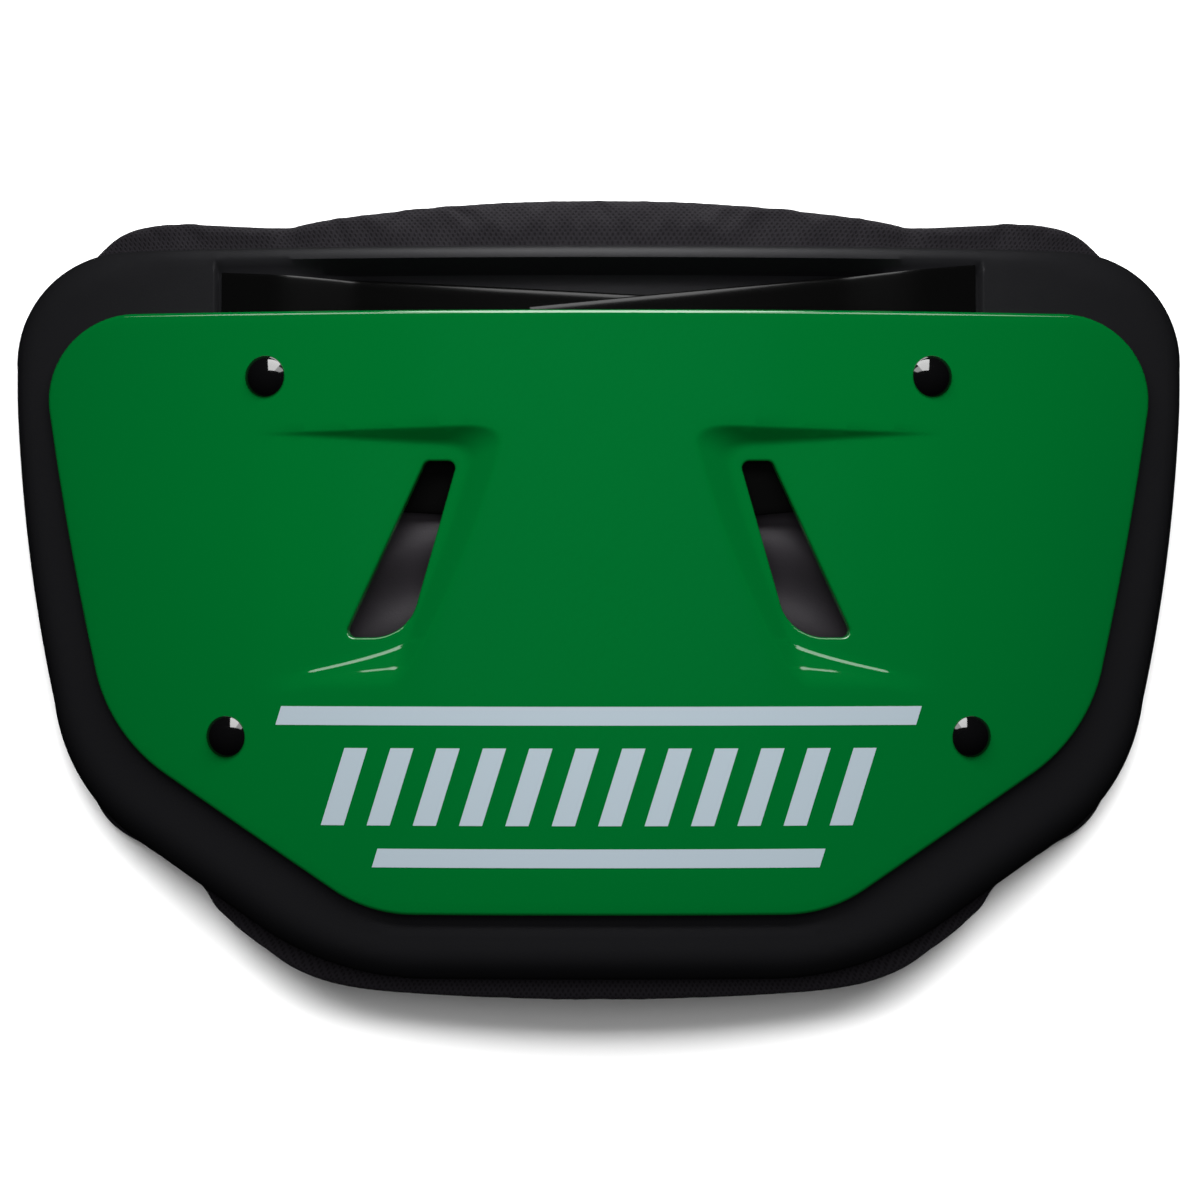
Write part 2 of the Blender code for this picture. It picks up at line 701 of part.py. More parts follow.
def pad_back(edge):
    """The puffed back of the pad: thin at its edge, pinched along the two grooves."""
    def height(x, v):
        swell = math.sin(0.5 * math.pi * ramp(edge.distance(x, v), 0.0, PAD_PUFF))
        pinch = 1.0 - ramp(abs(abs(x) - groove_line(v)), 0.0, PAD_GROOVE_HALF)
        depth = PAD_EDGE + swell * (PAD_THICKNESS - PAD_EDGE) - ease(pinch) * swell * PAD_GROOVE_DEPTH
        return -depth
    return height


def pad_front(edge, tray_edge):
    """The front of the pad: flat under the tray, and raised in a lip outside it."""
    def height(x, v):
        outside = -tray_edge.distance(x, v)
        raised = ramp(outside, PAD_TRAY_CLEARANCE, PAD_EDGE) * ramp(edge.distance(x, v), 0.0, PAD_EDGE)
        return -SEAT_GAP + raised * PAD_LIP
    return height


def build_pad(finish):
    """The pad, with a puffed back of three panels and a lip that shows past the tray."""
    edge = Edge(pad_outline())
    tray_edge = Edge(tray_outline())
    creases = [edge.inset(share * PAD_PUFF) for share in (0.15, 0.45, 1.0)]
    creases += stretches_inside(tray_edge.inset(-PAD_TRAY_CLEARANCE), edge)
    for side in (-1, 1):
        for shift in (-PAD_GROOVE_HALF, 0.0, PAD_GROOVE_HALF):
            creases.append(groove_points(edge, side, shift))
    low = (-TRAY_HALF_WIDTH * 1.2, -TRAY_BOTTOM * 1.2)
    nets = [(PAD_STEP, low, (TRAY_HALF_WIDTH * 1.2, TRAY_TOP * 1.2))]
    pad = thick_sheet("pad", edge, [], creases, nets, pad_front(edge, tray_edge), pad_back(edge))
    pad.data.materials.append(finish)
    return pad


def stretches_inside(loop, edge):
    """The stretches of a closed line that run well inside an edge."""
    runs = [[]]
    for point in loop + loop[:1]:
        if edge.distance(*point) > PAD_TRAY_CLEARANCE:
            runs[-1].append(point)
        elif runs[-1]:
            runs.append([])
    return [run for run in runs if len(run) > 1]


def groove_points(edge, side, shift):
    """Points along a groove, kept clear of the pad's edge."""
    count = round((TRAY_TOP + TRAY_BOTTOM) / COARSE_STEP)
    points = []
    for k in range(count + 1):
        v = TRAY_TOP - (TRAY_TOP + TRAY_BOTTOM) * k / count
        x = groove_line(v) + shift
        if edge.distance(x, v) > PAD_PUFF * 0.5:
            points.append(Vector((side * x, v)))
    return points


def strap_grid(side):
    """Rows of a strap's layout from its outer end inwards."""
    marks = (STRAP_OUTER_END, STRAP_LAND_INNER, STRAP_LAND_INNER - STRAP_RAMP, -STRAP_PAST_MIDDLE)
    stations = []
    for start, end in zip(marks, marks[1:]):
        count = max(1, round((start - end) / FINE_STEP))
        stations += [start + (end - start) * k / count for k in range(count)]
    rows = []
    for x in stations + [marks[-1]]:
        top = strap_top(side, side * x)
        rows.append([(side * x, top - STRAP_WIDTH * j / STRAP_FACETS) for j in range(STRAP_FACETS + 1)])
    return rows


def build_strap(name, side, low, finish):
    """One strap, held down by its rivet at its outer end and lying free past the middle."""
    made = bmesh.new()
    sheets = []
    rows = strap_grid(side)
    for lift in (0.0, STRAP_THICKNESS):
        sheets.append([[made.verts.new(bend(x, v, strap_rise(x, low) + lift)) for x, v in row] for row in rows])
    bottom, top = sheets
    for i in range(len(rows) - 1):
        for j in range(len(rows[0]) - 1):
            square = ((i, j), (i, j + 1), (i + 1, j + 1), (i + 1, j))
            made.faces.new([top[a][b] for a, b in square])
            made.faces.new([bottom[a][b] for a, b in reversed(square)])
    ends = len(rows) - 1, len(rows[0]) - 1
    rim = [(i, 0) for i in range(ends[0])] + [(ends[0], j) for j in range(ends[1])]
    rim += [(i, ends[1]) for i in range(ends[0], 0, -1)] + [(0, j) for j in range(ends[1], 0, -1)]
    for (a, b), (c, d) in zip(rim, rim[1:] + rim[:1]):
        made.faces.new((top[a][b], top[c][d], bottom[c][d], bottom[a][b]))
    bmesh.ops.recalc_face_normals(made, faces=made.faces)
    mesh = bpy.data.meshes.new(name)
    made.to_mesh(mesh)
    made.free()
    strap = bpy.data.objects.new(name, mesh)
    strap.data.materials.append(finish)
    return strap


def rivet_profile():
    """Half section of a rivet from the top of its dome down to its foot."""
    dome = []
    for step in range(DOME_STEPS):
        turn = 0.5 * math.pi * step / DOME_STEPS
        height = SHELL_FRONT + SEAT_GAP + RIVET_HEAD_HEIGHT * math.cos(turn)
        dome.append((RIVET_HEAD_RADIUS * math.sin(turn), height))
    return dome + [
        (RIVET_HEAD_RADIUS, SHELL_FRONT + SEAT_GAP),
        (RIVET_SHANK_RADIUS, SHELL_FRONT + SEAT_GAP),
        (RIVET_SHANK_RADIUS, SEAT_GAP + RIVET_FOOT_THICKNESS),
        (RIVET_FOOT_RADIUS, SEAT_GAP + RIVET_FOOT_THICKNESS),
        (RIVET_FOOT_RADIUS, SEAT_GAP),
        (0.0, SEAT_GAP),
    ]


def turned(name, profile):
    """A profile of radius and height turned about its own axis."""
    mesh = bpy.data.meshes.new(name)
    links = [(k, k + 1) for k in range(len(profile) - 1)]
    mesh.from_pydata([(r, 0.0, h) for r, h in profile], links, [])
    obj = bpy.data.objects.new(name, mesh)
    screw = obj.modifiers.new("turn", "SCREW")
    screw.steps = screw.render_steps = ROUND_SIDES
    screw.use_merge_vertices = True
    screw.merge_threshold = 0.00001
    return obj


def stand_on_plate(obj, place):
    """Stand an object on the plate, its axis along the outward direction."""
    obj.rotation_mode = "QUATERNION"
    obj.rotation_quaternion = outward(*place).to_track_quat("Z", "Y")
    obj.location = bend(*place, 0.0)


def add_cutter(target, cutter, cutters):
    """Cut one object from another, keeping the cutter out of the part."""
    cutter.hide_render = True
    cutter.display_type = "WIRE"
    cutters.objects.link(cutter)
    cut = target.modifiers.new(cutter.name, "BOOLEAN")
    cut.operation = "DIFFERENCE"
    cut.solver = "EXACT"
    cut.object = cutter


def foot_cutter(name):
    """The counterbore that a rivet's foot sits in, from below the tray's back."""
    radius = RIVET_FOOT_RADIUS + HOLE_CLEARANCE
    top = SEAT_GAP + RIVET_FOOT_THICKNESS + SEAT_GAP
    return turned(name, [(0.0, top), (radius, top), (radius, -BOSS_SKIRT), (0.0, -BOSS_SKIRT)])


def gather(objects, moving):
    """Every corner of the objects after a move."""
    points = []
    for obj in objects:
        points += [moving @ obj.matrix_world @ vert.co for vert in obj.data.vertices]
    return points


def middle_of_mass(obj):
    """Volume and centre of a closed mesh."""
    mesh = obj.data
    mesh.calc_loop_triangles()
    volume, centre = 0.0, Vector((0.0, 0.0, 0.0))
    for triangle in mesh.loop_triangles:
        a, b, c = (mesh.vertices[k].co for k in triangle.vertices)
        part = a.dot(b.cross(c)) / 6.0
        volume += part
        centre += (a + b + c) * (part / 4.0)
    return volume, centre / volume


def rest_turn(pieces, densities):
    """The tilt about x at which the plate lies steady on its two long edges."""
    total, heavy = 0.0, Vector((0.0, 0.0, 0.0))
    for piece, density in zip(pieces, densities):
        volume, centre = middle_of_mass(piece)
        total += volume * density
        heavy += centre * (volume * density)
    heavy /= total
    profile = sorted({(round(p.y, 6), round(p.z, 6)) for p in gather(pieces, Matrix())})
    hull = []
    for point in profile:
        while len(hull) > 1 and below(hull[-2], hull[-1], point):
            hull.pop()
        hull.append(point)
    for (y0, z0), (y1, z1) in zip(hull, hull[1:]):
        turn = -math.atan2(z1 - z0, y1 - y0)
        turned_flat = Matrix.Rotation(turn, 3, "X")
        start, end = turned_flat @ Vector((0.0, y0, z0)), turned_flat @ Vector((0.0, y1, z1))
        if start.y <= (turned_flat @ heavy).y <= end.y:
            return turn
    return 0.0


def below(a, b, c):
    """Whether b lies on or above the line from a to c, so that it isn't on the lower hull."""
    return (b[0] - a[0]) * (c[1] - a[1]) - (b[1] - a[1]) * (c[0] - a[0]) <= 0.0


def lay_down(objects, pieces):
    """Turn the plate to its rest, bring its lowest point just below the floor and centre it."""
    turn = Matrix.Rotation(rest_turn(pieces, (SHELL_DENSITY, TRAY_DENSITY, PAD_DENSITY)), 4, "X")
    bpy.context.view_layer.update()
    points = gather(objects, turn)
    low = Vector([min(p[k] for p in points) for k in range(3)])
    high = Vector([max(p[k] for p in points) for k in range(3)])
    middle = (low + high) / 2.0
    return Matrix.Translation((-middle.x, -middle.y, -low.z - PAD_FLATTENED)) @ turn


def flatten(pad, frame):
    """Press the pad flat where it meets the floor."""
    made = bmesh.new()
    made.from_mesh(pad.data)
    normal = frame.inverted().to_3x3() @ Vector((0.0, 0.0, -1.0))
    on_floor = frame.inverted() @ Vector((0.0, 0.0, 0.0))
    geometry = made.verts[:] + made.edges[:] + made.faces[:]
    bmesh.ops.bisect_plane(made, geom=geometry, dist=1e-6, plane_co=on_floor, plane_no=normal, clear_outer=True)
    bmesh.ops.holes_fill(made, edges=made.edges[:], sides=0)
    made.to_mesh(pad.data)
    made.free()


def main():
    """Build the plate in its own frame, then lay it down."""
    clear_scene()
    plate = bpy.data.collections.new("football_back_plate")
    cutters = bpy.data.collections.new("cutters")
    for collection in (plate, cutters):
        bpy.context.scene.collection.children.link(collection)

    gloss_green = material("gloss_green_plastic", (0.0, 0.147, 0.024), 0.12)
    black_foam = material("black_moulded_foam", (0.012, 0.012, 0.013), 0.5)
    black_mesh = material("black_mesh_fabric", (0.026, 0.025, 0.027), 0.85)
    black_strap = material("black_coated_strap", (0.004, 0.004, 0.004), 0.35)
    black_rivet = material("black_gloss_rivet", (0.004, 0.004, 0.004), 0.1)

    shell = build_shell(gloss_green)
    tray = build_tray(black_foam)
    pad = build_pad(black_mesh)
    straps = [
        build_strap("strap_left", -1, STRAP_LOW, black_strap),
        build_strap("strap_right", 1, STRAP_HIGH, black_strap),
    ]
    sheets = [shell, tray, pad]
    frame = lay_down(sheets, sheets)
    flatten(pad, frame)

    rest = bpy.data.objects.new("laid_down", None)
    rest.matrix_world = frame
    plate.objects.link(rest)
    profile = rivet_profile()
    rivets = []
    for name, place in rivet_places().items():
        rivet = turned(name, profile)
        rivet.data.materials.append(black_rivet)
        rivets.append(rivet)
        stand_on_plate(rivet, place)
        counterbore = foot_cutter(f"cut_{name}_foot")
        stand_on_plate(counterbore, place)
        counterbore.parent = rest
        add_cutter(tray, counterbore, cutters)
        if place[1] > 0.0:
            hole = turned(f"cut_{name}_strap", [
                (0.0, SHELL_FRONT), (RIVET_SHANK_RADIUS + HOLE_CLEARANCE, SHELL_FRONT),
                (RIVET_SHANK_RADIUS + HOLE_CLEARANCE, -BOSS_SKIRT), (0.0, -BOSS_SKIRT),
            ])
            stand_on_plate(hole, place)
            hole.parent = rest
            add_cutter(straps[place[0] > 0.0], hole, cutters)
    for obj in sheets + straps + rivets:
        obj.parent = rest
        plate.objects.link(obj)
        obj.data.shade_smooth()
        obj.data.set_sharp_from_angle(angle=math.radians(35.0))


main()
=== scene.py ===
"""Football back plate: the finished look of every piece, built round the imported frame.

A glossy pressed shell is riveted to a moulded foam tray, with two straps tucked between them,
and a puffed pad in a knitted cover is bonded behind. Lengths are in metres and angles in radians.
Pieces are laid out flat in the plate's own frame, x across, v up and w out from the wearer,
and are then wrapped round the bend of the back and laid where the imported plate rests.
"""

import logging
import math
from collections.abc import Callable, Sequence
from dataclasses import dataclass, field
from enum import Enum

import bpy
import numpy as np
from mathutils import Matrix, Vector, kdtree
from mathutils.bvhtree import BVHTree
from mathutils.geometry import delaunay_2d_cdt


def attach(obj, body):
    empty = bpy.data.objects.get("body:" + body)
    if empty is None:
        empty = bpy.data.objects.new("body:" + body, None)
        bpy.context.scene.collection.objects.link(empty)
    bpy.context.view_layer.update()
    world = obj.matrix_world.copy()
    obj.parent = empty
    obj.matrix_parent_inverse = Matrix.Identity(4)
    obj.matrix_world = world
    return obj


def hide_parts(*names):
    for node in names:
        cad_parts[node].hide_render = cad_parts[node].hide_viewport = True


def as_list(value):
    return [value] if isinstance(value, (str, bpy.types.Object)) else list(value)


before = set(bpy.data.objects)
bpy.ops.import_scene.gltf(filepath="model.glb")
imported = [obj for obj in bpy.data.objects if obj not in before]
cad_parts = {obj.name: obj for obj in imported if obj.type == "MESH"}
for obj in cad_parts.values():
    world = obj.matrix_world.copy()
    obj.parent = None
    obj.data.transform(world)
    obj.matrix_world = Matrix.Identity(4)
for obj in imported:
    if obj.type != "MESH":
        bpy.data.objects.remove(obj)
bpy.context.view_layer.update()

log = logging.getLogger("back_plate")
BODY = "root"
SEAT_GAP = 0.0003

Heights = Callable[[np.ndarray, np.ndarray], np.ndarray]


class Side(Enum):
    """The plate's two halves as the shell faces the viewer, with the sign of x on each."""

    LEFT = -1
    RIGHT = 1


class Row(Enum):
    """The two rows of rivets."""

    UPPER = "upper"
    LOWER = "lower"


def deselect_all() -> None:
    """Leave nothing selected, since an operator acts on all that is."""
    bpy.ops.object.select_all(action="DESELECT")


def focus(obj: bpy.types.Object) -> None:
    """Make one object the only selected and the active one."""
    deselect_all()
    obj.select_set(True)
    bpy.context.view_layer.objects.active = obj


def apply_modifier(obj: bpy.types.Object, kind: str, **settings: object) -> None:
    """Add a modifier to an object and apply it at once.

    Args:
        obj: The object to change.
        kind: The modifier's type, such as SOLIDIFY.
        **settings: The modifier's own settings.
    """
    focus(obj)
    modifier = obj.modifiers.new(kind.lower(), kind)
    for name, value in settings.items():
        setattr(modifier, name, value)
    bpy.ops.object.modifier_apply(modifier=modifier.name)


def settle_place(obj: bpy.types.Object) -> None:
    """Move an object's place, turn and scale into its mesh."""
    focus(obj)
    bpy.ops.object.transform_apply(location=True, rotation=True, scale=True)


def join(pieces: Sequence[bpy.types.Object], name: str) -> bpy.types.Object:
    """Join objects into one.

    Args:
        pieces: The objects, of which the first gives its origin.
        name: The joined object's name.

    Returns:
        The joined object.
    """
    deselect_all()
    for piece in pieces:
        piece.select_set(True)
    bpy.context.view_layer.objects.active = pieces[0]
    bpy.ops.object.join()
    pieces[0].name = name
    return pieces[0]


def shade(obj: bpy.types.Object, angle: float) -> None:
    """Shade an object smooth, apart from edges sharper than an angle."""
    focus(obj)
    bpy.ops.object.shade_smooth_by_angle(angle=angle)


def dress(obj: bpy.types.Object, finish: bpy.types.Material) -> None:
    """Give an object one finish all over."""
    obj.data.materials.clear()
    obj.data.materials.append(finish)


def mount(obj: bpy.types.Object, slot: str | None, *nodes: str) -> None:
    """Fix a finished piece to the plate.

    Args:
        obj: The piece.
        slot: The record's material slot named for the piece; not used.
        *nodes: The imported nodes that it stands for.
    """
    if nodes:
        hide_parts(*nodes)
    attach(obj, BODY)
    obj.data.calc_loop_triangles()
    log.info("%s: %d triangles", obj.name, len(obj.data.loop_triangles))


def ease(share: np.ndarray) -> np.ndarray:
    """A smooth step from 0 to 1 for shares from 0 to 1."""
    share = np.clip(share, 0.0, 1.0)
    return share * share * (3.0 - 2.0 * share)


def least(a: np.ndarray, b: np.ndarray, fillet: float) -> np.ndarray:
    """The lesser of two heights, with the crease where they cross rounded off."""
    overlap = np.maximum(fillet - np.abs(a - b), 0.0) / fillet
    return np.minimum(a, b) - overlap**2 * fillet / 4.0


def most(a: np.ndarray, b: np.ndarray, fillet: float) -> np.ndarray:
    """The greater of two heights, with the crease where they cross rounded off."""
    return -least(-a, -b, fillet)


def quarter(share: np.ndarray) -> np.ndarray:
    """A quarter ellipse from 0 to 1 that starts steep and ends level."""
    return np.sqrt(1.0 - (1.0 - np.clip(share, 0.0, 1.0)) ** 2)


def rolled(distance: np.ndarray, radius: float) -> np.ndarray:
    """How far a face drops near its edge, where a quarter round joins it to the wall."""
    inside = np.clip(radius - distance, 0.0, radius)
    return radius - np.sqrt(radius**2 - inside**2)


def points_of(obj: bpy.types.Object) -> np.ndarray:
    """A mesh's vertices as rows of x, y and z."""
    flat = np.empty(len(obj.data.vertices) * 3)
    obj.data.vertices.foreach_get("co", flat)
    return flat.reshape(-1, 3)


def move_points(obj: bpy.types.Object, points: np.ndarray) -> None:
    """Put a mesh's vertices at rows of x, y and z."""
    obj.data.vertices.foreach_set("co", points.ravel())
    obj.data.update()


@dataclass(frozen=True)
class PlateForm:
    """The bend shared by every piece, with the rivets' places on it and how the plate lies."""

    bend_radius: float = 0.300
    bow_radius: float = 0.900
    rivet_upper: tuple[float, float] = (0.0897, 0.0660)
    rivet_lower: tuple[float, float] = (0.1003, -0.0345)

    def rivet(self, side: Side, row: Row) -> tuple[float, float]:
        """The place of one rivet in the layout."""
        x, v = self.rivet_upper if row is Row.UPPER else self.rivet_lower
        return side.value * x, v

    def surface(self, x: np.ndarray, v: np.ndarray) -> tuple[np.ndarray, np.ndarray]:
        """The bent surface at height nought.

        Args:
            x: Places across.
            v: Places up the plate.

        Returns:
            Points on the surface and the outward direction at each.
        """
        turn = np.arcsin(np.clip(x / self.bend_radius, -1.0, 1.0))
        drop = self.bend_radius * (np.cos(turn) - 1.0) - v**2 / (2.0 * self.bow_radius)
        out = np.stack([np.sin(turn), np.cos(turn) * v / self.bow_radius, np.cos(turn)], axis=1)
        return np.stack([x, v, drop], axis=1), out / np.linalg.norm(out, axis=1, keepdims=True)

    def rest(self) -> Matrix:
        """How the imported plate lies: its tilt and place, read from its rivets.

        Each rivet is turned about the outward line at its place, so the middle of its corners
        lies on that line, and the right-hand pair fixes the height along it, the tilt and the place.
        """
        middles, bases, outs = [], [], []
        for row in Row:
            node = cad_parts[f"rivet_{row.value}_right"]
            corners = np.unique(np.round(points_of(node), 6), axis=0)
            middles.append(corners.mean(axis=0))
            x, v = self.rivet(Side.RIGHT, row)
            base, out = self.surface(np.array([x]), np.array([v]))
            bases.append(base[0])
            outs.append(out[0])
        along = np.mean([(m[0] - b[0]) / o[0] for m, b, o in zip(middles, bases, outs)])
        laid_out = [b + along * o for b, o in zip(bases, outs)]
        spans = [points[0] - points[1] for points in (middles, laid_out)]
        tilts = [math.atan2(span[2], span[1]) for span in spans]
        turn = Matrix.Rotation(tilts[0] - tilts[1], 4, "X")
        place = Vector(np.mean(middles, axis=0)) - turn @ Vector(np.mean(laid_out, axis=0))
        place.x = 0.0
        return Matrix.Translation(place) @ turn


class Plate:
    """Turns the flat layout into places in the world."""

    def __init__(self, form: PlateForm) -> None:
        """Hold the bend and work out how the plate lies."""
        self.form = form
        self.rest = form.rest()

    def wrap(self, x: np.ndarray, v: np.ndarray, w: np.ndarray) -> np.ndarray:
        """Wrap layout points round the bend and lay them down.

        Args:
            x: Places across.
            v: Places up the plate.
            w: Heights out from the wearer.

        Returns:
            Rows of world x, y and z.
        """
        on, out = self.form.surface(x, v)
        turn = np.array(self.rest)
        return (on + w[:, None] * out) @ turn[:3, :3].T + turn[:3, 3]

    def wrap_mesh(self, obj: bpy.types.Object) -> None:
        """Wrap a mesh whose own x, y and z are its layout."""
        points = points_of(obj)
        move_points(obj, self.wrap(*points.T))

    def stand(self, place: tuple[float, float]) -> Matrix:
        """The frame of something that stands on the plate, its z along the outward direction."""
        on, out = self.form.surface(np.array([place[0]]), np.array([place[1]]))
        turn = Vector(out[0]).to_track_quat("Z", "Y").to_matrix().to_4x4()
        return self.rest @ Matrix.Translation(Vector(on[0])) @ turn

    def outward(self, x: np.ndarray, v: np.ndarray) -> np.ndarray:
        """World outward directions at layout places."""
        return self.form.surface(x, v)[1] @ np.array(self.rest)[:3, :3].T


class Outline:
    """A closed line in the layout that measures how far points lie inside it."""

    BLOCK = 3000

    def __init__(self, points: np.ndarray) -> None:
        """Hold the line's points, without its first repeated at the end."""
        self.points = points
        self.along = np.roll(points, -1, axis=0) - points
        self.square = np.maximum((self.along**2).sum(axis=1), 1e-18)

    def distance(self, x: np.ndarray, v: np.ndarray) -> np.ndarray:
        """Distances from the line, positive inside it."""
        found = []
        for first in range(0, len(x), self.BLOCK):
            at = np.stack([x[first : first + self.BLOCK], v[first : first + self.BLOCK]], axis=1)
            offset = at[:, None] - self.points[None]
            share = np.clip((offset * self.along).sum(axis=2) / self.square, 0.0, 1.0)
            gap = offset - self.along * share[:, :, None]
            found.append(np.sqrt((gap**2).sum(axis=2).min(axis=1)))
        return np.concatenate(found) * np.where(self.holds(x, v), 1.0, -1.0)

    def holds(self, x: np.ndarray, v: np.ndarray) -> np.ndarray:
        """Whether each point is inside, by counting the stretches above it."""
        x0, v0 = self.points.T
        x1, v1 = (self.points + self.along).T
        odd = np.zeros(len(x), bool)
        for a, b, c, d in zip(x0, v0, x1, v1):
            if a != c:
                spans = (a > x) != (c > x)
                odd ^= spans & (b + (x - a) / (c - a) * (d - b) > v)
        return odd

    def inset(self, depth: float) -> np.ndarray:
        """The line's points moved inwards."""
        along = np.roll(self.points, -1, axis=0) - np.roll(self.points, 1, axis=0)
        along /= np.linalg.norm(along, axis=1, keepdims=True)
        return self.points + np.stack([along[:, 1], -along[:, 0]], axis=1) * depth


@dataclass(frozen=True)
class Corner:
    """A rounded corner of an outline."""

    place: Vector
    radius: float

    def arc(self, before: Vector, after: Vector, steps: int) -> list[Vector]:
        """Points of the arc between the straights to the places before and after."""
        back = (before - self.place).normalized()
        ahead = (after - self.place).normalized()
        half = back.angle(ahead) / 2.0
        reach = self.radius / math.tan(half)
        middle = self.place + (back + ahead).normalized() * (self.radius / math.sin(half))
        start = self.place + back * reach - middle
        turn = start.angle_signed(self.place + ahead * reach - middle)
        points = []
        for step in range(steps + 1):
            turned = start.copy()
            turned.rotate(Matrix.Rotation(-turn * step / steps, 2))
            points.append(middle + turned)
        return points


def straight(start: Vector, end: Vector, step: float, bulge: float = 0.0) -> list[Vector]:
    """Points strictly between two places, bulged sideways by an arc."""
    along = end - start
    side = Vector((-along.y, along.x)).normalized()
    count = max(2, round(along.length / step))
    shares = [k / count for k in range(1, count)]
    return [start + along * s + side * (4.0 * bulge * s * (1.0 - s)) for s in shares]


def mirrored(half: Sequence[Vector]) -> np.ndarray:
    """Close a right half that runs from the top middle to the bottom middle."""
    right = np.array([tuple(p) for p in half])
    return np.concatenate([right, right[-2:0:-1] * (-1.0, 1.0)])


@dataclass(frozen=True)
class EdgeForm:
    """An edge of the plate's shape: a level top, leaning sides, diagonals and a level bottom."""

    top: float
    bottom: float
    half_width: float
    lean: float
    diagonal: float
    diagonal_reach: float
    bulge: float
    radii: tuple[float, float, float]
    step: float = 0.0016
    arc_steps: int = 22

    def outline(self) -> Outline:
        """The edge as a closed line, clockwise from the top middle."""
        lines = (
            ((0.0, 1.0), self.top),
            ((math.cos(self.lean), -math.sin(self.lean)), self.half_width * math.cos(self.lean)),
            ((math.sin(self.diagonal), -math.cos(self.diagonal)), self.diagonal_reach),
            ((0.0, -1.0), self.bottom),
        )
        places = [self.crossing(a, b) for a, b in zip(lines, lines[1:])]
        path = [Vector((0.0, self.top)), *places, Vector((0.0, -self.bottom))]
        half = [path[0]]
        for k, radius in enumerate(self.radii):
            arc = Corner(path[k + 1], radius).arc(path[k], path[k + 2], self.arc_steps)
            half += straight(half[-1], arc[0], self.step, self.bulge if k == 1 else 0.0) + arc
        return Outline(mirrored(half + straight(half[-1], path[-1], self.step) + [path[-1]]))

    @staticmethod
    def crossing(first: tuple, second: tuple) -> Vector:
        """Where two lines cross; a line is its normal and its distance from the middle."""
        (ax, av), a = first
        (bx, bv), b = second
        det = ax * bv - av * bx
        return Vector(((a * bv - b * av) / det, (ax * b - bx * a) / det))


@dataclass
class Sheet:
    """A sheet of stuff with an outline, holes and a form given by its front and back heights.

    No primitive gives these edges, rolled rims and slots at an even grain, so the layout is
    triangulated between its lines, given its two heights, wrapped and closed at its edges.
    """

    name: str
    plate: Plate
    edge: Outline
    holes: list[Outline] = field(default_factory=list)
    rings: list[np.ndarray] = field(default_factory=list)
    nets: list[tuple[float, Callable[[np.ndarray, np.ndarray], np.ndarray]]] = field(default_factory=list)
    clearance: float = 0.62

    def net(self, step: float) -> np.ndarray:
        """A triangular net of points over the whole edge."""
        low, high = self.edge.points.min(axis=0), self.edge.points.max(axis=0)
        rise = step * math.sqrt(0.75)
        rows = []
        for j in range(int((high[1] - low[1]) / rise) + 1):
            x = np.arange(low[0] + 0.5 * step * (j % 2), high[0], step)
            rows.append(np.stack([x, np.full(len(x), low[1] + j * rise)], axis=1))
        return np.concatenate(rows)

    def scatter(self) -> np.ndarray:
        """All points of the layout: the lines first, then the nets' points that keep clear."""
        lines = [self.edge.points, *(hole.points for hole in self.holes), *self.rings]
        points = np.concatenate(lines)
        for step, wanted in self.nets:
            net = self.net(step)
            net = net[self.edge.holds(*net.T)]
            net = net[wanted(*net.T)]
            tree = kdtree.KDTree(len(points))
            for k, (x, v) in enumerate(points):
                tree.insert((x, v, 0.0), k)
            tree.balance()
            gaps = np.array([tree.find((x, v, 0.0))[2] for x, v in net])
            points = np.concatenate([points, net[gaps > self.clearance * step]])
        return points

    def triangles(self) -> tuple[np.ndarray, np.ndarray]:
        """The layout's points and the triangles between its edge and its holes."""
        links, first = [], 0
        loops = [self.edge.points, *(hole.points for hole in self.holes)]
        for loop in loops:
            links += [(first + k, first + (k + 1) % len(loop)) for k in range(len(loop))]
            first += len(loop)
        corners = [Vector(p) for p in self.scatter()]
        made = delaunay_2d_cdt(corners, links, [], 0, 1e-8)
        points = np.array([tuple(p) for p in made[0]])
        faces = np.array(made[2])
        middles = points[faces].mean(axis=1)
        kept = self.edge.holds(*middles.T)
        for hole in self.holes:
            kept &= ~hole.holds(*middles.T)
        a, b, c = (points[faces[:, k]] for k in range(3))
        area = (b[:, 0] - a[:, 0]) * (c[:, 1] - a[:, 1]) - (b[:, 1] - a[:, 1]) * (c[:, 0] - a[:, 0])
        kept &= np.abs(area) > 1e-12
        faces = faces[kept]
        used, index = np.unique(faces, return_inverse=True)
        return points[used], index.reshape(-1, 3)

    def build(self, front: Heights, back: Heights) -> tuple[bpy.types.Object, np.ndarray]:
        """Make the sheet's mesh.

        Args:
            front: Height of the front at layout places.
            back: Height of the back at layout places.

        Returns:
            The object, and rows of layout x, v and w for its vertices.
        """
        layout, faces = self.triangles()
        x, v = layout.T
        count = len(layout)
        rows = np.concatenate([
            np.stack([x, v, front(x, v)], axis=1),
            np.stack([x, v, back(x, v)], axis=1),
        ])
        ends = np.concatenate([faces[:, [0, 1]], faces[:, [1, 2]], faces[:, [2, 0]]])
        codes = ends.min(axis=1) * count + ends.max(axis=1)
        _, where, times = np.unique(codes, return_index=True, return_counts=True)
        rim = ends[where[times == 1]]
        walls = np.stack([rim[:, 1], rim[:, 0], rim[:, 0] + count, rim[:, 1] + count], axis=1)
        mesh = bpy.data.meshes.new(self.name)
        polygons = faces.tolist() + (faces[:, ::-1] + count).tolist() + walls.tolist()
        mesh.from_pydata(self.plate.wrap(*rows.T).tolist(), [], polygons)
        obj = bpy.data.objects.new(self.name, mesh)
        bpy.context.scene.collection.objects.link(obj)
        lay_pattern(obj, rows, self.plate.form.bend_radius)
        return obj, rows


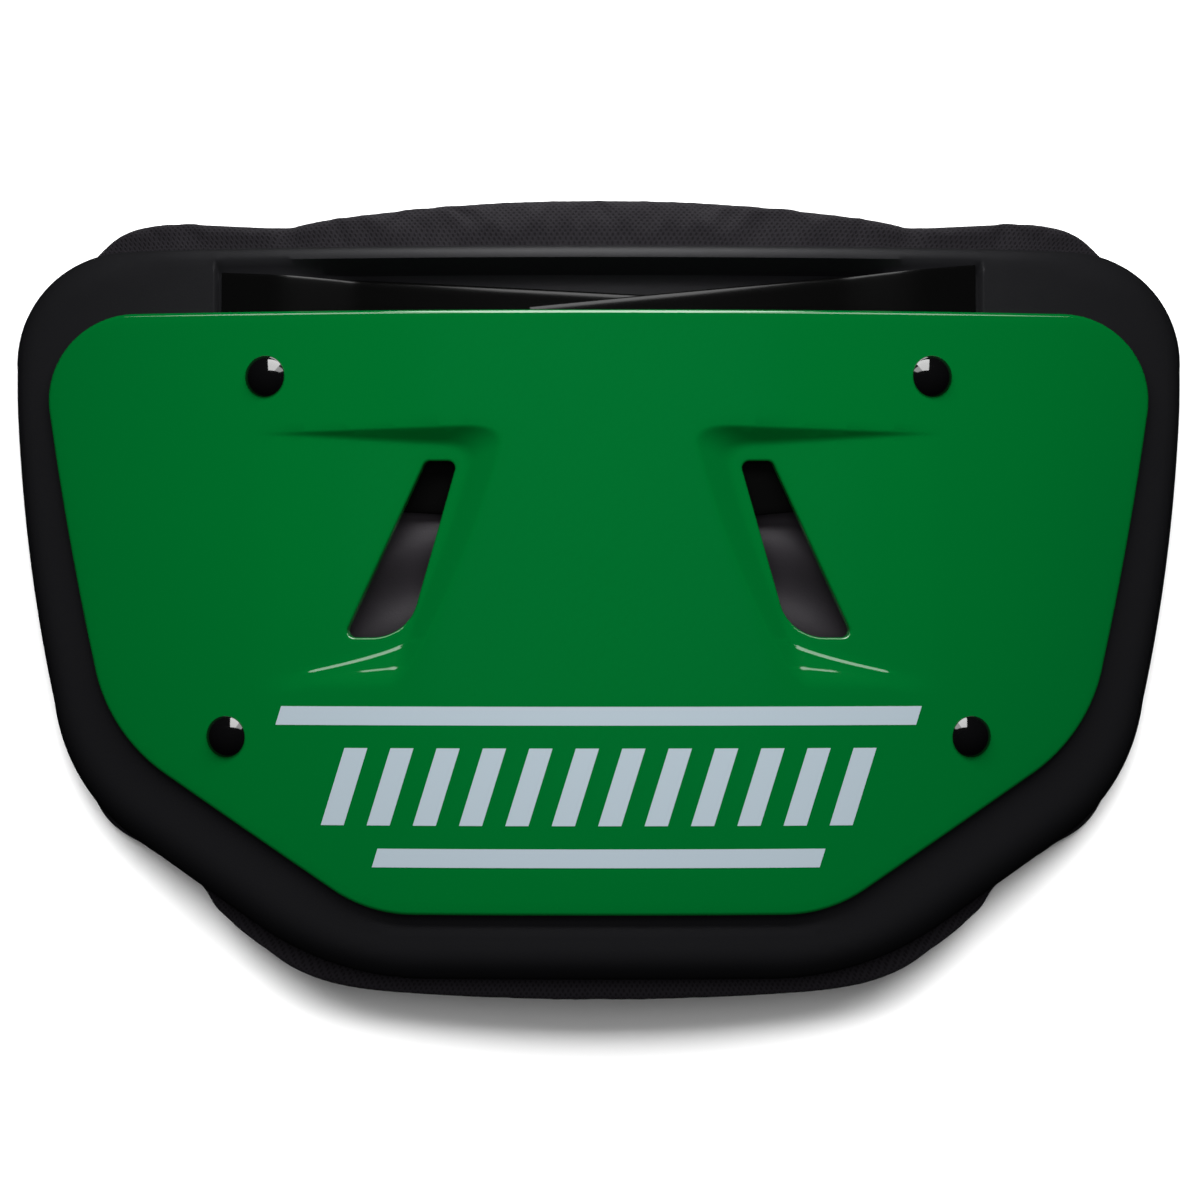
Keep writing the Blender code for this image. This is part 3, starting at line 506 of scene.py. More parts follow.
def lay_pattern(obj: bpy.types.Object, rows: np.ndarray, bend_radius: float) -> None:
    """Give a mesh a map in metres along its surface, for patterns that follow it.

    The height is added outwards, so that a pattern runs on down the sheet's side walls.

    Args:
        obj: The wrapped mesh.
        rows: Layout x, v and w of each vertex.
        bend_radius: Radius of the bend, round which x is measured.
    """
    x, v, w = rows.T
    along = bend_radius * np.arcsin(x / bend_radius) - w * np.tanh(x / 0.05)
    up = v - w * np.tanh(v / 0.05)
    corners = np.empty(len(obj.data.loops), int)
    obj.data.loops.foreach_get("vertex_index", corners)
    places = np.stack([along, up], axis=1)[corners]
    obj.data.uv_layers.new(name="surface").data.foreach_set("uv", places.ravel())


def linear(code: str) -> tuple[float, float, float, float]:
    """An sRGB hex colour as linear red, green, blue and full alpha."""
    shares = [int(code[k : k + 2], 16) / 255.0 for k in (1, 3, 5)]
    return (*(s / 12.92 if s <= 0.04045 else ((s + 0.055) / 1.055) ** 2.4 for s in shares), 1.0)


def add_node(tree: bpy.types.NodeTree, kind: str, inputs: dict | None = None, **settings: object) -> bpy.types.Node:
    """Add a node with its settings and links.

    Args:
        tree: The material's node tree.
        kind: The node's type.
        inputs: Values for its inputs, or sockets to link to them, by name or place.
        **settings: The node's own settings.

    Returns:
        The node.
    """
    node = tree.nodes.new(kind)
    for name, value in settings.items():
        setattr(node, name, value)
    for key, value in (inputs or {}).items():
        if isinstance(value, bpy.types.NodeSocket):
            tree.links.new(value, node.inputs[key])
        else:
            node.inputs[key].default_value = value
    return node


def new_material(name: str) -> tuple[bpy.types.Material, bpy.types.NodeTree, bpy.types.Node]:
    """A material with a Principled shader.

    Returns:
        The material, its node tree and its shader.
    """
    made = bpy.data.materials.new(name)
    made.use_nodes = True
    return made, made.node_tree, made.node_tree.nodes["Principled BSDF"]


def per_metre(size_mm: float) -> float:
    """A texture's scale for features of a size in millimetres."""
    return 1000.0 / size_mm


@dataclass(frozen=True)
class PressedGlossAbs:
    """ABS sheet, heated and pressed over a mould: a mirror-like face with a faint ripple."""

    name: str = "pressed_gloss_abs"
    colour: str = "#006e29"
    deeper: str = "#00692b"
    roughness: float = 0.08
    ripple_mm: float = 26.0
    ripple_height: float = 0.00003
    drift_mm: float = 90.0

    def make(self) -> bpy.types.Material:
        """The finish: one green that drifts slightly, under a clear hard gloss."""
        made, tree, shader = new_material(self.name)
        place = add_node(tree, "ShaderNodeTexCoord").outputs["Object"]
        # The sheet's pigment is never quite even, which the eye reads as real plastic
        drift = add_node(tree, "ShaderNodeTexNoise", {"Vector": place, "Scale": per_metre(self.drift_mm), "Detail": 1.0})
        tone = add_node(
            tree, "ShaderNodeMix", {0: drift.outputs[0], 6: linear(self.colour), 7: linear(self.deeper)}, data_type="RGBA"
        )
        # Cooling leaves a very shallow ripple, which bends reflected edges a little
        ripple = add_node(
            tree, "ShaderNodeTexNoise", {"Vector": place, "Scale": per_metre(self.ripple_mm), "Detail": 0.0}
        )
        bump = add_node(tree, "ShaderNodeBump", {"Height": ripple.outputs[0], "Distance": self.ripple_height, "Strength": 1.0})
        tree.links.new(tone.outputs[2], shader.inputs["Base Color"])
        tree.links.new(bump.outputs[0], shader.inputs["Normal"])
        shader.inputs["Roughness"].default_value = self.roughness
        shader.inputs["IOR"].default_value = 1.52
        return made


@dataclass(frozen=True)
class MouldedFoam:
    """Cross-linked EVA foam pressed in a satin mould: a soft skin with a fine leathery grain."""

    name: str = "moulded_eva_foam"
    colour: str = "#1a1a1c"
    roughness: float = 0.52
    gloss: float = 0.14
    grain_mm: float = 0.55
    grain_height: float = 0.00003
    cell_mm: float = 6.0

    def make(self) -> bpy.types.Material:
        """The finish: near black, with broad soft highlights broken by the grain."""
        made, tree, shader = new_material(self.name)
        place = add_node(tree, "ShaderNodeTexCoord").outputs["Object"]
        # The mould's satin grain, drawn at the coarsest size that the real one has
        grain = add_node(
            tree, "ShaderNodeTexNoise", {"Vector": place, "Scale": per_metre(self.grain_mm), "Detail": 2.0}
        )
        # Foam shrinks unevenly as it cools, so its sheen wanders over a few millimetres
        patch = add_node(tree, "ShaderNodeTexNoise", {"Vector": place, "Scale": per_metre(self.cell_mm), "Detail": 1.0})
        sheen = add_node(
            tree, "ShaderNodeMapRange",
            {"Value": patch.outputs[0], "To Min": self.roughness - 0.04, "To Max": self.roughness + 0.05},
        )
        bump = add_node(tree, "ShaderNodeBump", {"Height": grain.outputs[0], "Distance": self.grain_height})
        tree.links.new(sheen.outputs[0], shader.inputs["Roughness"])
        tree.links.new(bump.outputs[0], shader.inputs["Normal"])
        shader.inputs["Base Color"].default_value = linear(self.colour)
        shader.inputs["Specular IOR Level"].default_value = self.gloss
        return made


@dataclass(frozen=True)
class KnittedMesh:
    """Polyester spacer mesh, warp knitted: rows of small round holes between soft ribs of yarn."""

    name: str = "knitted_spacer_mesh"
    yarn: str = "#28262a"
    hole: str = "#1d1b1e"
    roughness: float = 0.85
    gloss: float = 0.12
    hole_pitch_mm: float = 1.1
    yarn_mm: float = 0.35
    rib_height: float = 0.00010

    def make(self) -> bpy.types.Material:
        """The finish: dark holes in a dull yarn with a slight bloom at grazing angles."""
        made, tree, shader = new_material(self.name)
        place = add_node(tree, "ShaderNodeUVMap", uv_map="surface").outputs[0]
        # Alternate rows are set half a pitch over, as the knitting staggers them
        staggered = add_node(
            tree, "ShaderNodeMapping", {"Vector": place, "Rotation": (0.0, 0.0, math.radians(45.0))}
        )
        cells = add_node(
            tree, "ShaderNodeTexVoronoi",
            {"Vector": staggered.outputs[0], "Scale": per_metre(self.hole_pitch_mm), "Randomness": 0.12},
            voronoi_dimensions="2D",
        )
        wall = add_node(
            tree, "ShaderNodeMapRange", {"Value": cells.outputs["Distance"], "From Min": 0.16, "From Max": 0.42},
            interpolation_type="SMOOTHSTEP",
        )
        fluff = add_node(tree, "ShaderNodeTexNoise", {"Vector": place, "Scale": per_metre(self.yarn_mm), "Detail": 1.0})
        tone = add_node(
            tree, "ShaderNodeMix", {0: wall.outputs[0], 6: linear(self.hole), 7: linear(self.yarn)}, data_type="RGBA"
        )
        height = add_node(
            tree, "ShaderNodeMath", {0: fluff.outputs[0], 1: 0.25, 2: wall.outputs[0]}, operation="MULTIPLY_ADD"
        )
        bump = add_node(tree, "ShaderNodeBump", {"Height": height.outputs[0], "Distance": self.rib_height})
        tree.links.new(tone.outputs[2], shader.inputs["Base Color"])
        tree.links.new(bump.outputs[0], shader.inputs["Normal"])
        shader.inputs["Roughness"].default_value = self.roughness
        shader.inputs["Specular IOR Level"].default_value = self.gloss
        shader.inputs["Sheen Weight"].default_value = 0.06
        shader.inputs["Sheen Roughness"].default_value = 0.4
        return made


@dataclass(frozen=True)
class CoatedWebbing:
    """Polyester webbing calendered with a smooth vinyl coat, which hides all but a trace of the weave."""

    name: str = "coated_webbing"
    colour: str = "#080808"
    roughness: float = 0.21
    gloss: float = 0.13
    trace_mm: float = 2.4
    trace_height: float = 0.000006

    def make(self) -> bpy.types.Material:
        """The finish: deep black with a tight gloss that only edges and creases catch."""
        made, tree, shader = new_material(self.name)
        place = add_node(tree, "ShaderNodeUVMap", uv_map="surface").outputs[0]
        trace = add_node(tree, "ShaderNodeTexNoise", {"Vector": place, "Scale": per_metre(self.trace_mm)})
        bump = add_node(tree, "ShaderNodeBump", {"Height": trace.outputs[0], "Distance": self.trace_height})
        tree.links.new(bump.outputs[0], shader.inputs["Normal"])
        shader.inputs["Base Color"].default_value = linear(self.colour)
        shader.inputs["Roughness"].default_value = self.roughness
        shader.inputs["Specular IOR Level"].default_value = self.gloss
        return made


@dataclass(frozen=True)
class MouldedNylon:
    """Nylon, injection moulded in a polished tool: black and glassy."""

    name: str = "moulded_gloss_nylon"
    colour: str = "#0a0a0b"
    roughness: float = 0.07
    scuff_mm: float = 2.5

    def make(self) -> bpy.types.Material:
        """The finish: a wet-looking dome whose gloss is dulled in faint patches."""
        made, tree, shader = new_material(self.name)
        place = add_node(tree, "ShaderNodeTexCoord").outputs["Object"]
        scuff = add_node(tree, "ShaderNodeTexNoise", {"Vector": place, "Scale": per_metre(self.scuff_mm)})
        gloss = add_node(
            tree, "ShaderNodeMapRange",
            {"Value": scuff.outputs[0], "To Min": self.roughness - 0.03, "To Max": self.roughness + 0.05},
        )
        tree.links.new(gloss.outputs[0], shader.inputs["Roughness"])
        shader.inputs["Base Color"].default_value = linear(self.colour)
        shader.inputs["IOR"].default_value = 1.53
        return made


@dataclass(frozen=True)
class ScreenInk:
    """Pad-printed ink: a pale opaque film, a little duller than the plastic round it."""

    name: str = "printed_ink"
    colour: str = "#b7c6d0"
    roughness: float = 0.32
    speck_mm: float = 0.7

    def make(self) -> bpy.types.Material:
        """The finish: an even film with the faint unevenness of a squeegee."""
        made, tree, shader = new_material(self.name)
        place = add_node(tree, "ShaderNodeTexCoord").outputs["Object"]
        speck = add_node(tree, "ShaderNodeTexNoise", {"Vector": place, "Scale": per_metre(self.speck_mm)})
        bump = add_node(tree, "ShaderNodeBump", {"Height": speck.outputs[0], "Distance": 0.000008})
        tree.links.new(bump.outputs[0], shader.inputs["Normal"])
        shader.inputs["Base Color"].default_value = linear(self.colour)
        shader.inputs["Roughness"].default_value = self.roughness
        return made


@dataclass(frozen=True)
class SewingThread:
    """Bonded polyester thread, twisted: dull black with a soft glint along each stitch."""

    name: str = "bonded_thread"
    colour: str = "#26252a"
    roughness: float = 0.5
    twist_mm: float = 0.5

    def make(self) -> bpy.types.Material:
        """The finish: fine bands across each stitch stand for the twist."""
        made, tree, shader = new_material(self.name)
        place = add_node(tree, "ShaderNodeTexCoord").outputs["Object"]
        twist = add_node(
            tree, "ShaderNodeTexWave", {"Vector": place, "Scale": per_metre(self.twist_mm) / 6.2832},
            wave_type="BANDS", bands_direction="DIAGONAL",
        )
        bump = add_node(tree, "ShaderNodeBump", {"Height": twist.outputs["Fac"], "Distance": 0.00005})
        tree.links.new(bump.outputs[0], shader.inputs["Normal"])
        shader.inputs["Base Color"].default_value = linear(self.colour)
        shader.inputs["Roughness"].default_value = self.roughness
        return made


@dataclass(frozen=True)
class Crease:
    """A soft step pressed along a curve at a scoop's foot, which catches the light as a thin line."""

    inner: float
    outer: float
    top: float
    fall: float
    curl: float
    height: float
    width: float
    fade: float = 0.0060

    def rise(self, x: np.ndarray, v: np.ndarray) -> np.ndarray:
        """How far the form is raised below the curve."""
        share = np.clip((x - self.inner) / (self.outer - self.inner), 0.0, 1.0)
        line = self.top - self.fall * share**self.curl
        window = ease((x - self.inner + self.fade) / self.fade) * ease((self.outer - x) / self.fade)
        return self.height * window * ease((line - v) / self.width + 0.5)

    def rings(self, side: Side) -> list[np.ndarray]:
        """Rows of points along the step, so that the net's edges follow it."""
        share = np.linspace(0.0, 1.0, round((self.outer - self.inner) / 0.0004))
        x = self.inner + share * (self.outer - self.inner)
        line = self.top - self.fall * share**self.curl
        offsets = (-0.6, -0.45, -0.3, -0.15, 0.0, 0.15, 0.3, 0.45, 0.6)
        return [np.stack([side.value * x, line + k * self.width], axis=1) for k in offsets]


@dataclass(frozen=True)
class Scoop:
    """The pressed channel that leads to a vent, deepest towards the middle of the plate."""

    deepest: float = 0.0050
    outer: float = 0.0895
    full: float = 0.0400
    top_at_vent: float = 0.0518
    top_rise: float = 0.035
    top_slope: float = 1.10
    bottom: float = -0.0208
    bottom_slope: float = 0.30
    inner_at_middle: float = 0.0430
    inner_lean: float = 0.46
    inner_curl: float = 2.2
    inner_slope: float = 0.62
    corner_fillet: float = 0.0070
    low_fillet: float = 0.0022
    foot_fillet: float = 0.0009
    lip_fillet: float = 0.0005
    creases: tuple[Crease, ...] = (
        Crease(0.0510, 0.0820, -0.0076, 0.0096, 0.68, 0.00028, 0.0013),
        Crease(0.0520, 0.0680, -0.0150, 0.0017, 1.0, 0.00007, 0.0011),
    )

    def depth(self, x: np.ndarray, v: np.ndarray) -> np.ndarray:
        """How far the shell is pressed in at layout places."""
        x = np.abs(x)
        fall = (self.outer - x) * self.deepest / (self.outer - self.full)
        floor = least(fall, np.full(len(x), self.deepest), self.foot_fillet)
        top = (self.top_at_vent - self.top_rise * (x - self.full) - v) * self.top_slope
        bottom = (v - self.bottom) * self.bottom_slope
        inner_line = self.inner_at_middle - self.inner_lean * v + self.inner_curl * v**2
        inner = (x - inner_line) * self.inner_slope
        walls = least(least(top, inner, self.corner_fillet), bottom, self.low_fillet)
        depth = least(floor, walls, self.foot_fillet)
        for crease in self.creases:
            depth = depth - crease.rise(x, v)
        return most(depth, np.zeros(len(x)), self.lip_fillet)

    def bends(self, x: np.ndarray, v: np.ndarray) -> np.ndarray:
        """How sharply the form bends at layout places, as a change of slope per metre."""
        reach = 0.0003
        around = sum(self.depth(x + a, v + b) for a, b in ((reach, 0), (-reach, 0), (0, reach), (0, -reach)))
        return np.abs(around - 4.0 * self.depth(x, v)) / reach**2


@dataclass(frozen=True)
class Vent:
    """The slanted slot at the deep end of a scoop."""

    top: float = 0.0425
    bottom: float = -0.0068
    inner_top: float = 0.0385
    outer_top: float = 0.0472
    inner_bottom: float = 0.0520
    outer_bottom: float = 0.0690
    corner: float = 0.0020
    sweep: float = 0.0125
    lip: float = 0.0007

    def outline(self, side: Side) -> Outline:
        """The slot's edge: straight flanks, the inner one sweeping out to the foot."""
        places = [
            Vector((self.outer_top, self.top)),
            Vector((self.inner_top, self.top)),
            Vector((self.inner_bottom, self.bottom)),
            Vector((self.outer_bottom, self.bottom)),
        ]
        loop: list[Vector] = []
        for k, radius in enumerate((self.corner, self.corner, self.sweep, self.corner)):
            arc = Corner(places[k], radius).arc(places[k - 1], places[(k + 1) % 4], 14)
            if loop:
                loop += straight(loop[-1], arc[0], 0.0009)
            loop += arc
        loop += straight(loop[-1], loop[0], 0.0009)
        return Outline(np.array([(side.value * p.x, p.y) for p in loop]))


@dataclass
class Shell:
    """The hard gloss shell, with its scoops, vents and rivet holes."""

    plate: Plate
    back: float = 0.0136
    thickness: float = 0.0030
    edge_round: float = 0.0012
    back_round: float = 0.0004
    rivet_hole: float = 0.0030
    scoop: Scoop = field(default_factory=Scoop)
    vent: Vent = field(default_factory=Vent)
    top: float = 0.0843
    bottom: float = 0.0840
    bottom_half: float = 0.0619
    half_width: float = 0.1400
    lean: float = math.radians(10.2)
    diagonal: float = math.radians(34.8)
    plain_step: float = 0.0026
    scoop_step: float = 0.0011
    crease_step: float = 0.0005
    crease_bend: float = 60.0

    @property
    def front(self) -> float:
        """Height of the plain face."""
        return self.back + self.thickness

    def diagonal_reach(self) -> float:
        """Distance of the diagonal edge from the plate's middle."""
        return math.sin(self.diagonal) * self.bottom_half + math.cos(self.diagonal) * self.bottom

    def outline(self) -> Outline:
        """The shell's edge."""
        return EdgeForm(
            self.top, self.bottom, self.half_width, self.lean, self.diagonal,
            self.diagonal_reach(), 0.0006, (0.024, 0.048, 0.038),
        ).outline()

    def hole(self, place: tuple[float, float]) -> Outline:
        """A rivet's hole."""
        turns = np.linspace(0.0, 2.0 * math.pi, 24, endpoint=False)
        around = np.stack([np.cos(turns), -np.sin(turns)], axis=1)
        return Outline(np.array(place) + around * self.rivet_hole)

    def build(self, finish: bpy.types.Material) -> bpy.types.Object:
        """Press, trim and polish the shell."""
        edge = self.outline()
        vents = [self.vent.outline(side) for side in Side]
        holes = [self.hole(self.plate.form.rivet(side, row)) for side in Side for row in Row]
        shares = (0.05, 0.15, 0.30, 0.50, 0.75, 1.00)
        rings = [edge.inset(share * self.edge_round) for share in shares]
        for vent in vents:
            out = 1.0 if vent.distance(*(vent.inset(0.001)[:1].T))[0] > 0.0 else -1.0
            rings += [vent.inset(-out * share * self.vent.lip) for share in (0.08, 0.3, 0.6, 1.0)]
        for crease in self.scoop.creases:
            rings += [ring for side in Side for ring in crease.rings(side)]
        clear = 1.6 * self.scoop_step

        def outside_vents(x: np.ndarray, v: np.ndarray) -> np.ndarray:
            return ~(vents[0].holds(x, v) | vents[1].holds(x, v))

        sheet = Sheet("shell_gloss", self.plate, edge, vents + holes, rings, [
            (self.crease_step, lambda x, v: outside_vents(x, v) & (self.scoop.bends(x, v) > self.crease_bend)),
            (self.scoop_step, lambda x, v: outside_vents(x, v) & (self.scoop.depth(x - clear, v) > 0.0001)),
            (self.plain_step, outside_vents),
        ])

        def front(x: np.ndarray, v: np.ndarray) -> np.ndarray:
            height = self.front - self.scoop.depth(x, v) - rolled(edge.distance(x, v), self.edge_round)
            for vent in vents:
                height -= rolled(np.maximum(-vent.distance(x, v), 0.0), self.vent.lip)
            return height

        def back(x: np.ndarray, v: np.ndarray) -> np.ndarray:
            return self.back - self.scoop.depth(x, v) + rolled(edge.distance(x, v), self.back_round)

        shell, _ = sheet.build(front, back)
        shade(shell, math.radians(50.0))
        dress(shell, finish)
        mount(shell, "gloss_green_plastic", "shell")
        return shell


@dataclass
class Tray:
    """The moulded foam body: a rolled rim outside the shell, and a basin under it."""

    plate: Plate
    shell: Shell
    floor: float = 0.0035
    rim_top: float = 0.0192
    rim_side: float = 0.0171
    rim_diagonal: float = 0.0234
    rim_bottom: float = 0.0197
    lean: float = math.radians(6.6)
    ledge_width: float = 0.0090
    basin_wall: float = 0.0100
    edge_share: float = 0.22
    outlet_half: float = 0.1045
    outlet_end: float = 0.0009
    ridge_share: float = 0.19
    ridge_foot: float = 0.46
    corner_start: float = 0.116
    corner_width: float = 0.032
    bottom_dish: float = 0.0022
    bottom_dish_width: float = 0.0048
    wave: float = 0.0011
    wave_length: float = 0.0215
    wave_place: float = 0.0248
    strap_foot: float = 0.0309
    land_inner: float = 0.0900
    land_ramp: float = 0.0240
    land_height: float = 0.0112
    boss: float = 0.0100
    boss_skirt: float = 0.0060
    foot_radius: float = 0.0079
    foot_depth: float = 0.0020

    @property
    def ledge(self) -> float:
        """Height of the ledge that carries the shell."""
        return self.shell.back - SEAT_GAP

    def outline(self) -> Outline:
        """The tray's edge, outside the shell's by its rim."""
        return EdgeForm(
            self.shell.top + self.rim_top, self.shell.bottom + self.rim_bottom,
            self.shell.half_width + self.rim_side, self.lean, self.shell.diagonal,
            self.shell.diagonal_reach() + self.rim_diagonal, 0.0024, (0.031, 0.055, 0.085),
        ).outline()

    def bead(self, share: np.ndarray) -> np.ndarray:
        """The rolled rim's height, as a share of the ledge, from the tray's edge to the shell's."""
        crown = 1.0 - (1.0 - np.clip(share / 0.55, 0.0, 1.0)) ** 2.6
        return self.edge_share + 0.25 * quarter(share / 0.05) + 0.53 * crown

    def ridge(self, share: np.ndarray) -> np.ndarray:
        """The narrower ridge along the top, which rises faster and then runs level."""
        crown = 1.0 - (1.0 - np.clip(share / 0.21, 0.0, 1.0)) ** 2
        return self.edge_share + 0.55 * quarter(share / 0.05) + 0.23 * crown

    def across(self, x: np.ndarray, v: np.ndarray) -> np.ndarray:
        """Share of the way across the rim, 0 at the tray's edge and 1 at the shell's."""
        to_outer = np.maximum(self.outer.distance(x, v), 0.0)
        to_inner = np.maximum(-self.inner.distance(x, v), 0.0)
        return to_outer / np.maximum(to_outer + to_inner, 1e-9)

    def outlet(self, x: np.ndarray) -> np.ndarray:
        """1 where the straps come out above the shell, 0 beside them."""
        return ease((self.outlet_half + self.outlet_end - np.abs(x)) / self.outlet_end)

    def land(self, x: np.ndarray, v: np.ndarray, base: np.ndarray) -> np.ndarray:
        """The ground, raised where it carries a strap's riveted end."""
        rise = ease((np.abs(x) - self.land_inner + self.land_ramp) / self.land_ramp)
        within = ease((v - self.strap_foot + 2.0 * self.basin_wall) / self.basin_wall)
        return base + rise * within * (self.land_height - base)

    def ground(self, x: np.ndarray, v: np.ndarray) -> np.ndarray:
        """The basin's floor, with the long soft swells that show through the vents."""
        swell = np.sin(2.0 * math.pi * (v + 0.25 * np.abs(x) - self.wave_place) / self.wave_length)
        below = ease((self.strap_foot - 0.001 - v) / 0.004)
        return self.land(x, v, self.floor + self.wave * below * swell)

    def dish(self, x: np.ndarray, v: np.ndarray, inset: np.ndarray) -> np.ndarray:
        """How far the rim dips towards the shell along the bottom."""
        under = ease((0.0030 - inset) / 0.0020)
        dip = self.bottom_dish * ease(1.0 + inset / self.bottom_dish_width)
        return dip * under * ease((0.070 - np.abs(x)) / 0.016) * (v < 0.0)

    def front(self, x: np.ndarray, v: np.ndarray) -> np.ndarray:
        """The tray's front at layout places."""
        share = self.across(x, v)
        ledge = self.ledge
        around = np.maximum(ease((np.abs(x) - self.corner_start) / self.corner_width), (v < 0.0).astype(float))
        plain = ledge * (self.ridge(share) + around * (self.bead(share) - self.ridge(share)))
        drop = ease((share - self.ridge_share) / (self.ridge_foot - self.ridge_share))
        ridge = plain + drop * (self.land(x, v, np.full(len(x), self.floor)) - plain)
        upper = ease((v - self.shell.top + 0.024) / 0.010)
        rim = plain + self.outlet(x) * upper * (ridge - plain)
        inset = self.inner.distance(x, v)
        depth = ease((inset - self.ledge_width) / self.basin_wall)
        depth = np.where(v > 0.0, np.maximum(depth, self.outlet(x) * upper), depth)
        basin = ledge + depth * (self.ground(x, v) - ledge)
        height = np.where(inset < 0.0, rim, basin) - self.dish(x, v, inset)
        for side in Side:
            place = self.plate.form.rivet(side, Row.LOWER)
            away = np.hypot(x - place[0], v - place[1])
            near = ease((self.boss + self.boss_skirt - away) / self.boss_skirt)
            height = height + near * np.maximum(ledge - height, 0.0)
        return height

    def build(self, finish: bpy.types.Material, sheen_painted_skin: bpy.types.Material) -> bpy.types.Object:
        """Mould the tray and bore the seats for the rivets' feet.

        Args:
            finish: The skin of the whole tray.
            sheen_painted_skin: A paler, glossier copy of the foam for the basin's floor below the straps, seen through
                the vents; its paler colour is painted sheen.

        Returns:
            The tray.
        """
        self.outer, self.inner = self.outline(), self.shell.outline()
        holes = [self.shell.hole(self.plate.form.rivet(side, row)) for side in Side for row in Row]
        widths = (0.0003, 0.0008, 0.0016, 0.0028, 0.0042, 0.0060, 0.0080)
        rings = [self.outer.inset(width) for width in widths]
        rings += [self.inner.inset(depth) for depth in (-0.0048, -0.0032, -0.0016, 0.0, 0.0016, 0.0030)]
        wall = np.arange(self.shell.top - 0.012, self.shell.top + self.rim_top - 0.002, 0.0008)
        for side in Side:
            for share in (-0.4, 0.0, 0.25, 0.5, 0.75, 1.0, 1.4):
                x = side.value * (self.outlet_half + share * self.outlet_end)
                rings.append(np.stack([np.full(len(wall), x), wall], axis=1))
        near_edge = 0.0200
        sheet = Sheet("tray_foam", self.plate, self.outer, holes, rings, [
            (0.0019, lambda x, v: self.outer.distance(x, v) < 0.0290),
            (0.0024, lambda x, v: (np.abs(np.abs(x) - self.outlet_half) < near_edge) & (v > 0.03)),
            (0.0024, lambda x, v: (np.abs(x) > 0.03) & (np.abs(x) < 0.08) & (v > -0.02) & (v < 0.05)),
            (0.0050, lambda x, v: np.ones(len(x), bool)),
        ])
        tray, rows = sheet.build(self.front, lambda x, v: np.zeros(len(x)))
        dress(tray, finish)
        # The basin's floor below the straps takes a paler copy of the foam, whose lighter colour is painted sheen
        tray.data.materials.append(sheen_painted_skin)
        sheen_painted_points = (self.inner.distance(*rows[:, :2].T) > self.ledge_width) & (rows[:, 1] < self.strap_foot + 0.004)
        sheen_painted_points &= rows[:, 2] > 0.0
        for face in tray.data.polygons:
            face.material_index = int(all(sheen_painted_points[k] for k in face.vertices))
        for side in Side:
            for row in Row:
                self.bore(tray, self.plate.stand(self.plate.form.rivet(side, row)))
        shade(tray, math.radians(42.0))
        mount(tray, "black_moulded_foam", "tray")
        return tray

    def bore(self, tray: bpy.types.Object, place: Matrix) -> None:
        """Cut the round seat of a rivet's foot into the tray's back."""
        deselect_all()
        bpy.ops.mesh.primitive_cylinder_add(vertices=40, radius=self.foot_radius, depth=2.0 * self.foot_depth)
        cutter = bpy.context.active_object
        cutter.matrix_world = place
        apply_modifier(tray, "BOOLEAN", operation="DIFFERENCE", solver="EXACT", object=cutter)
        bpy.data.objects.remove(cutter)


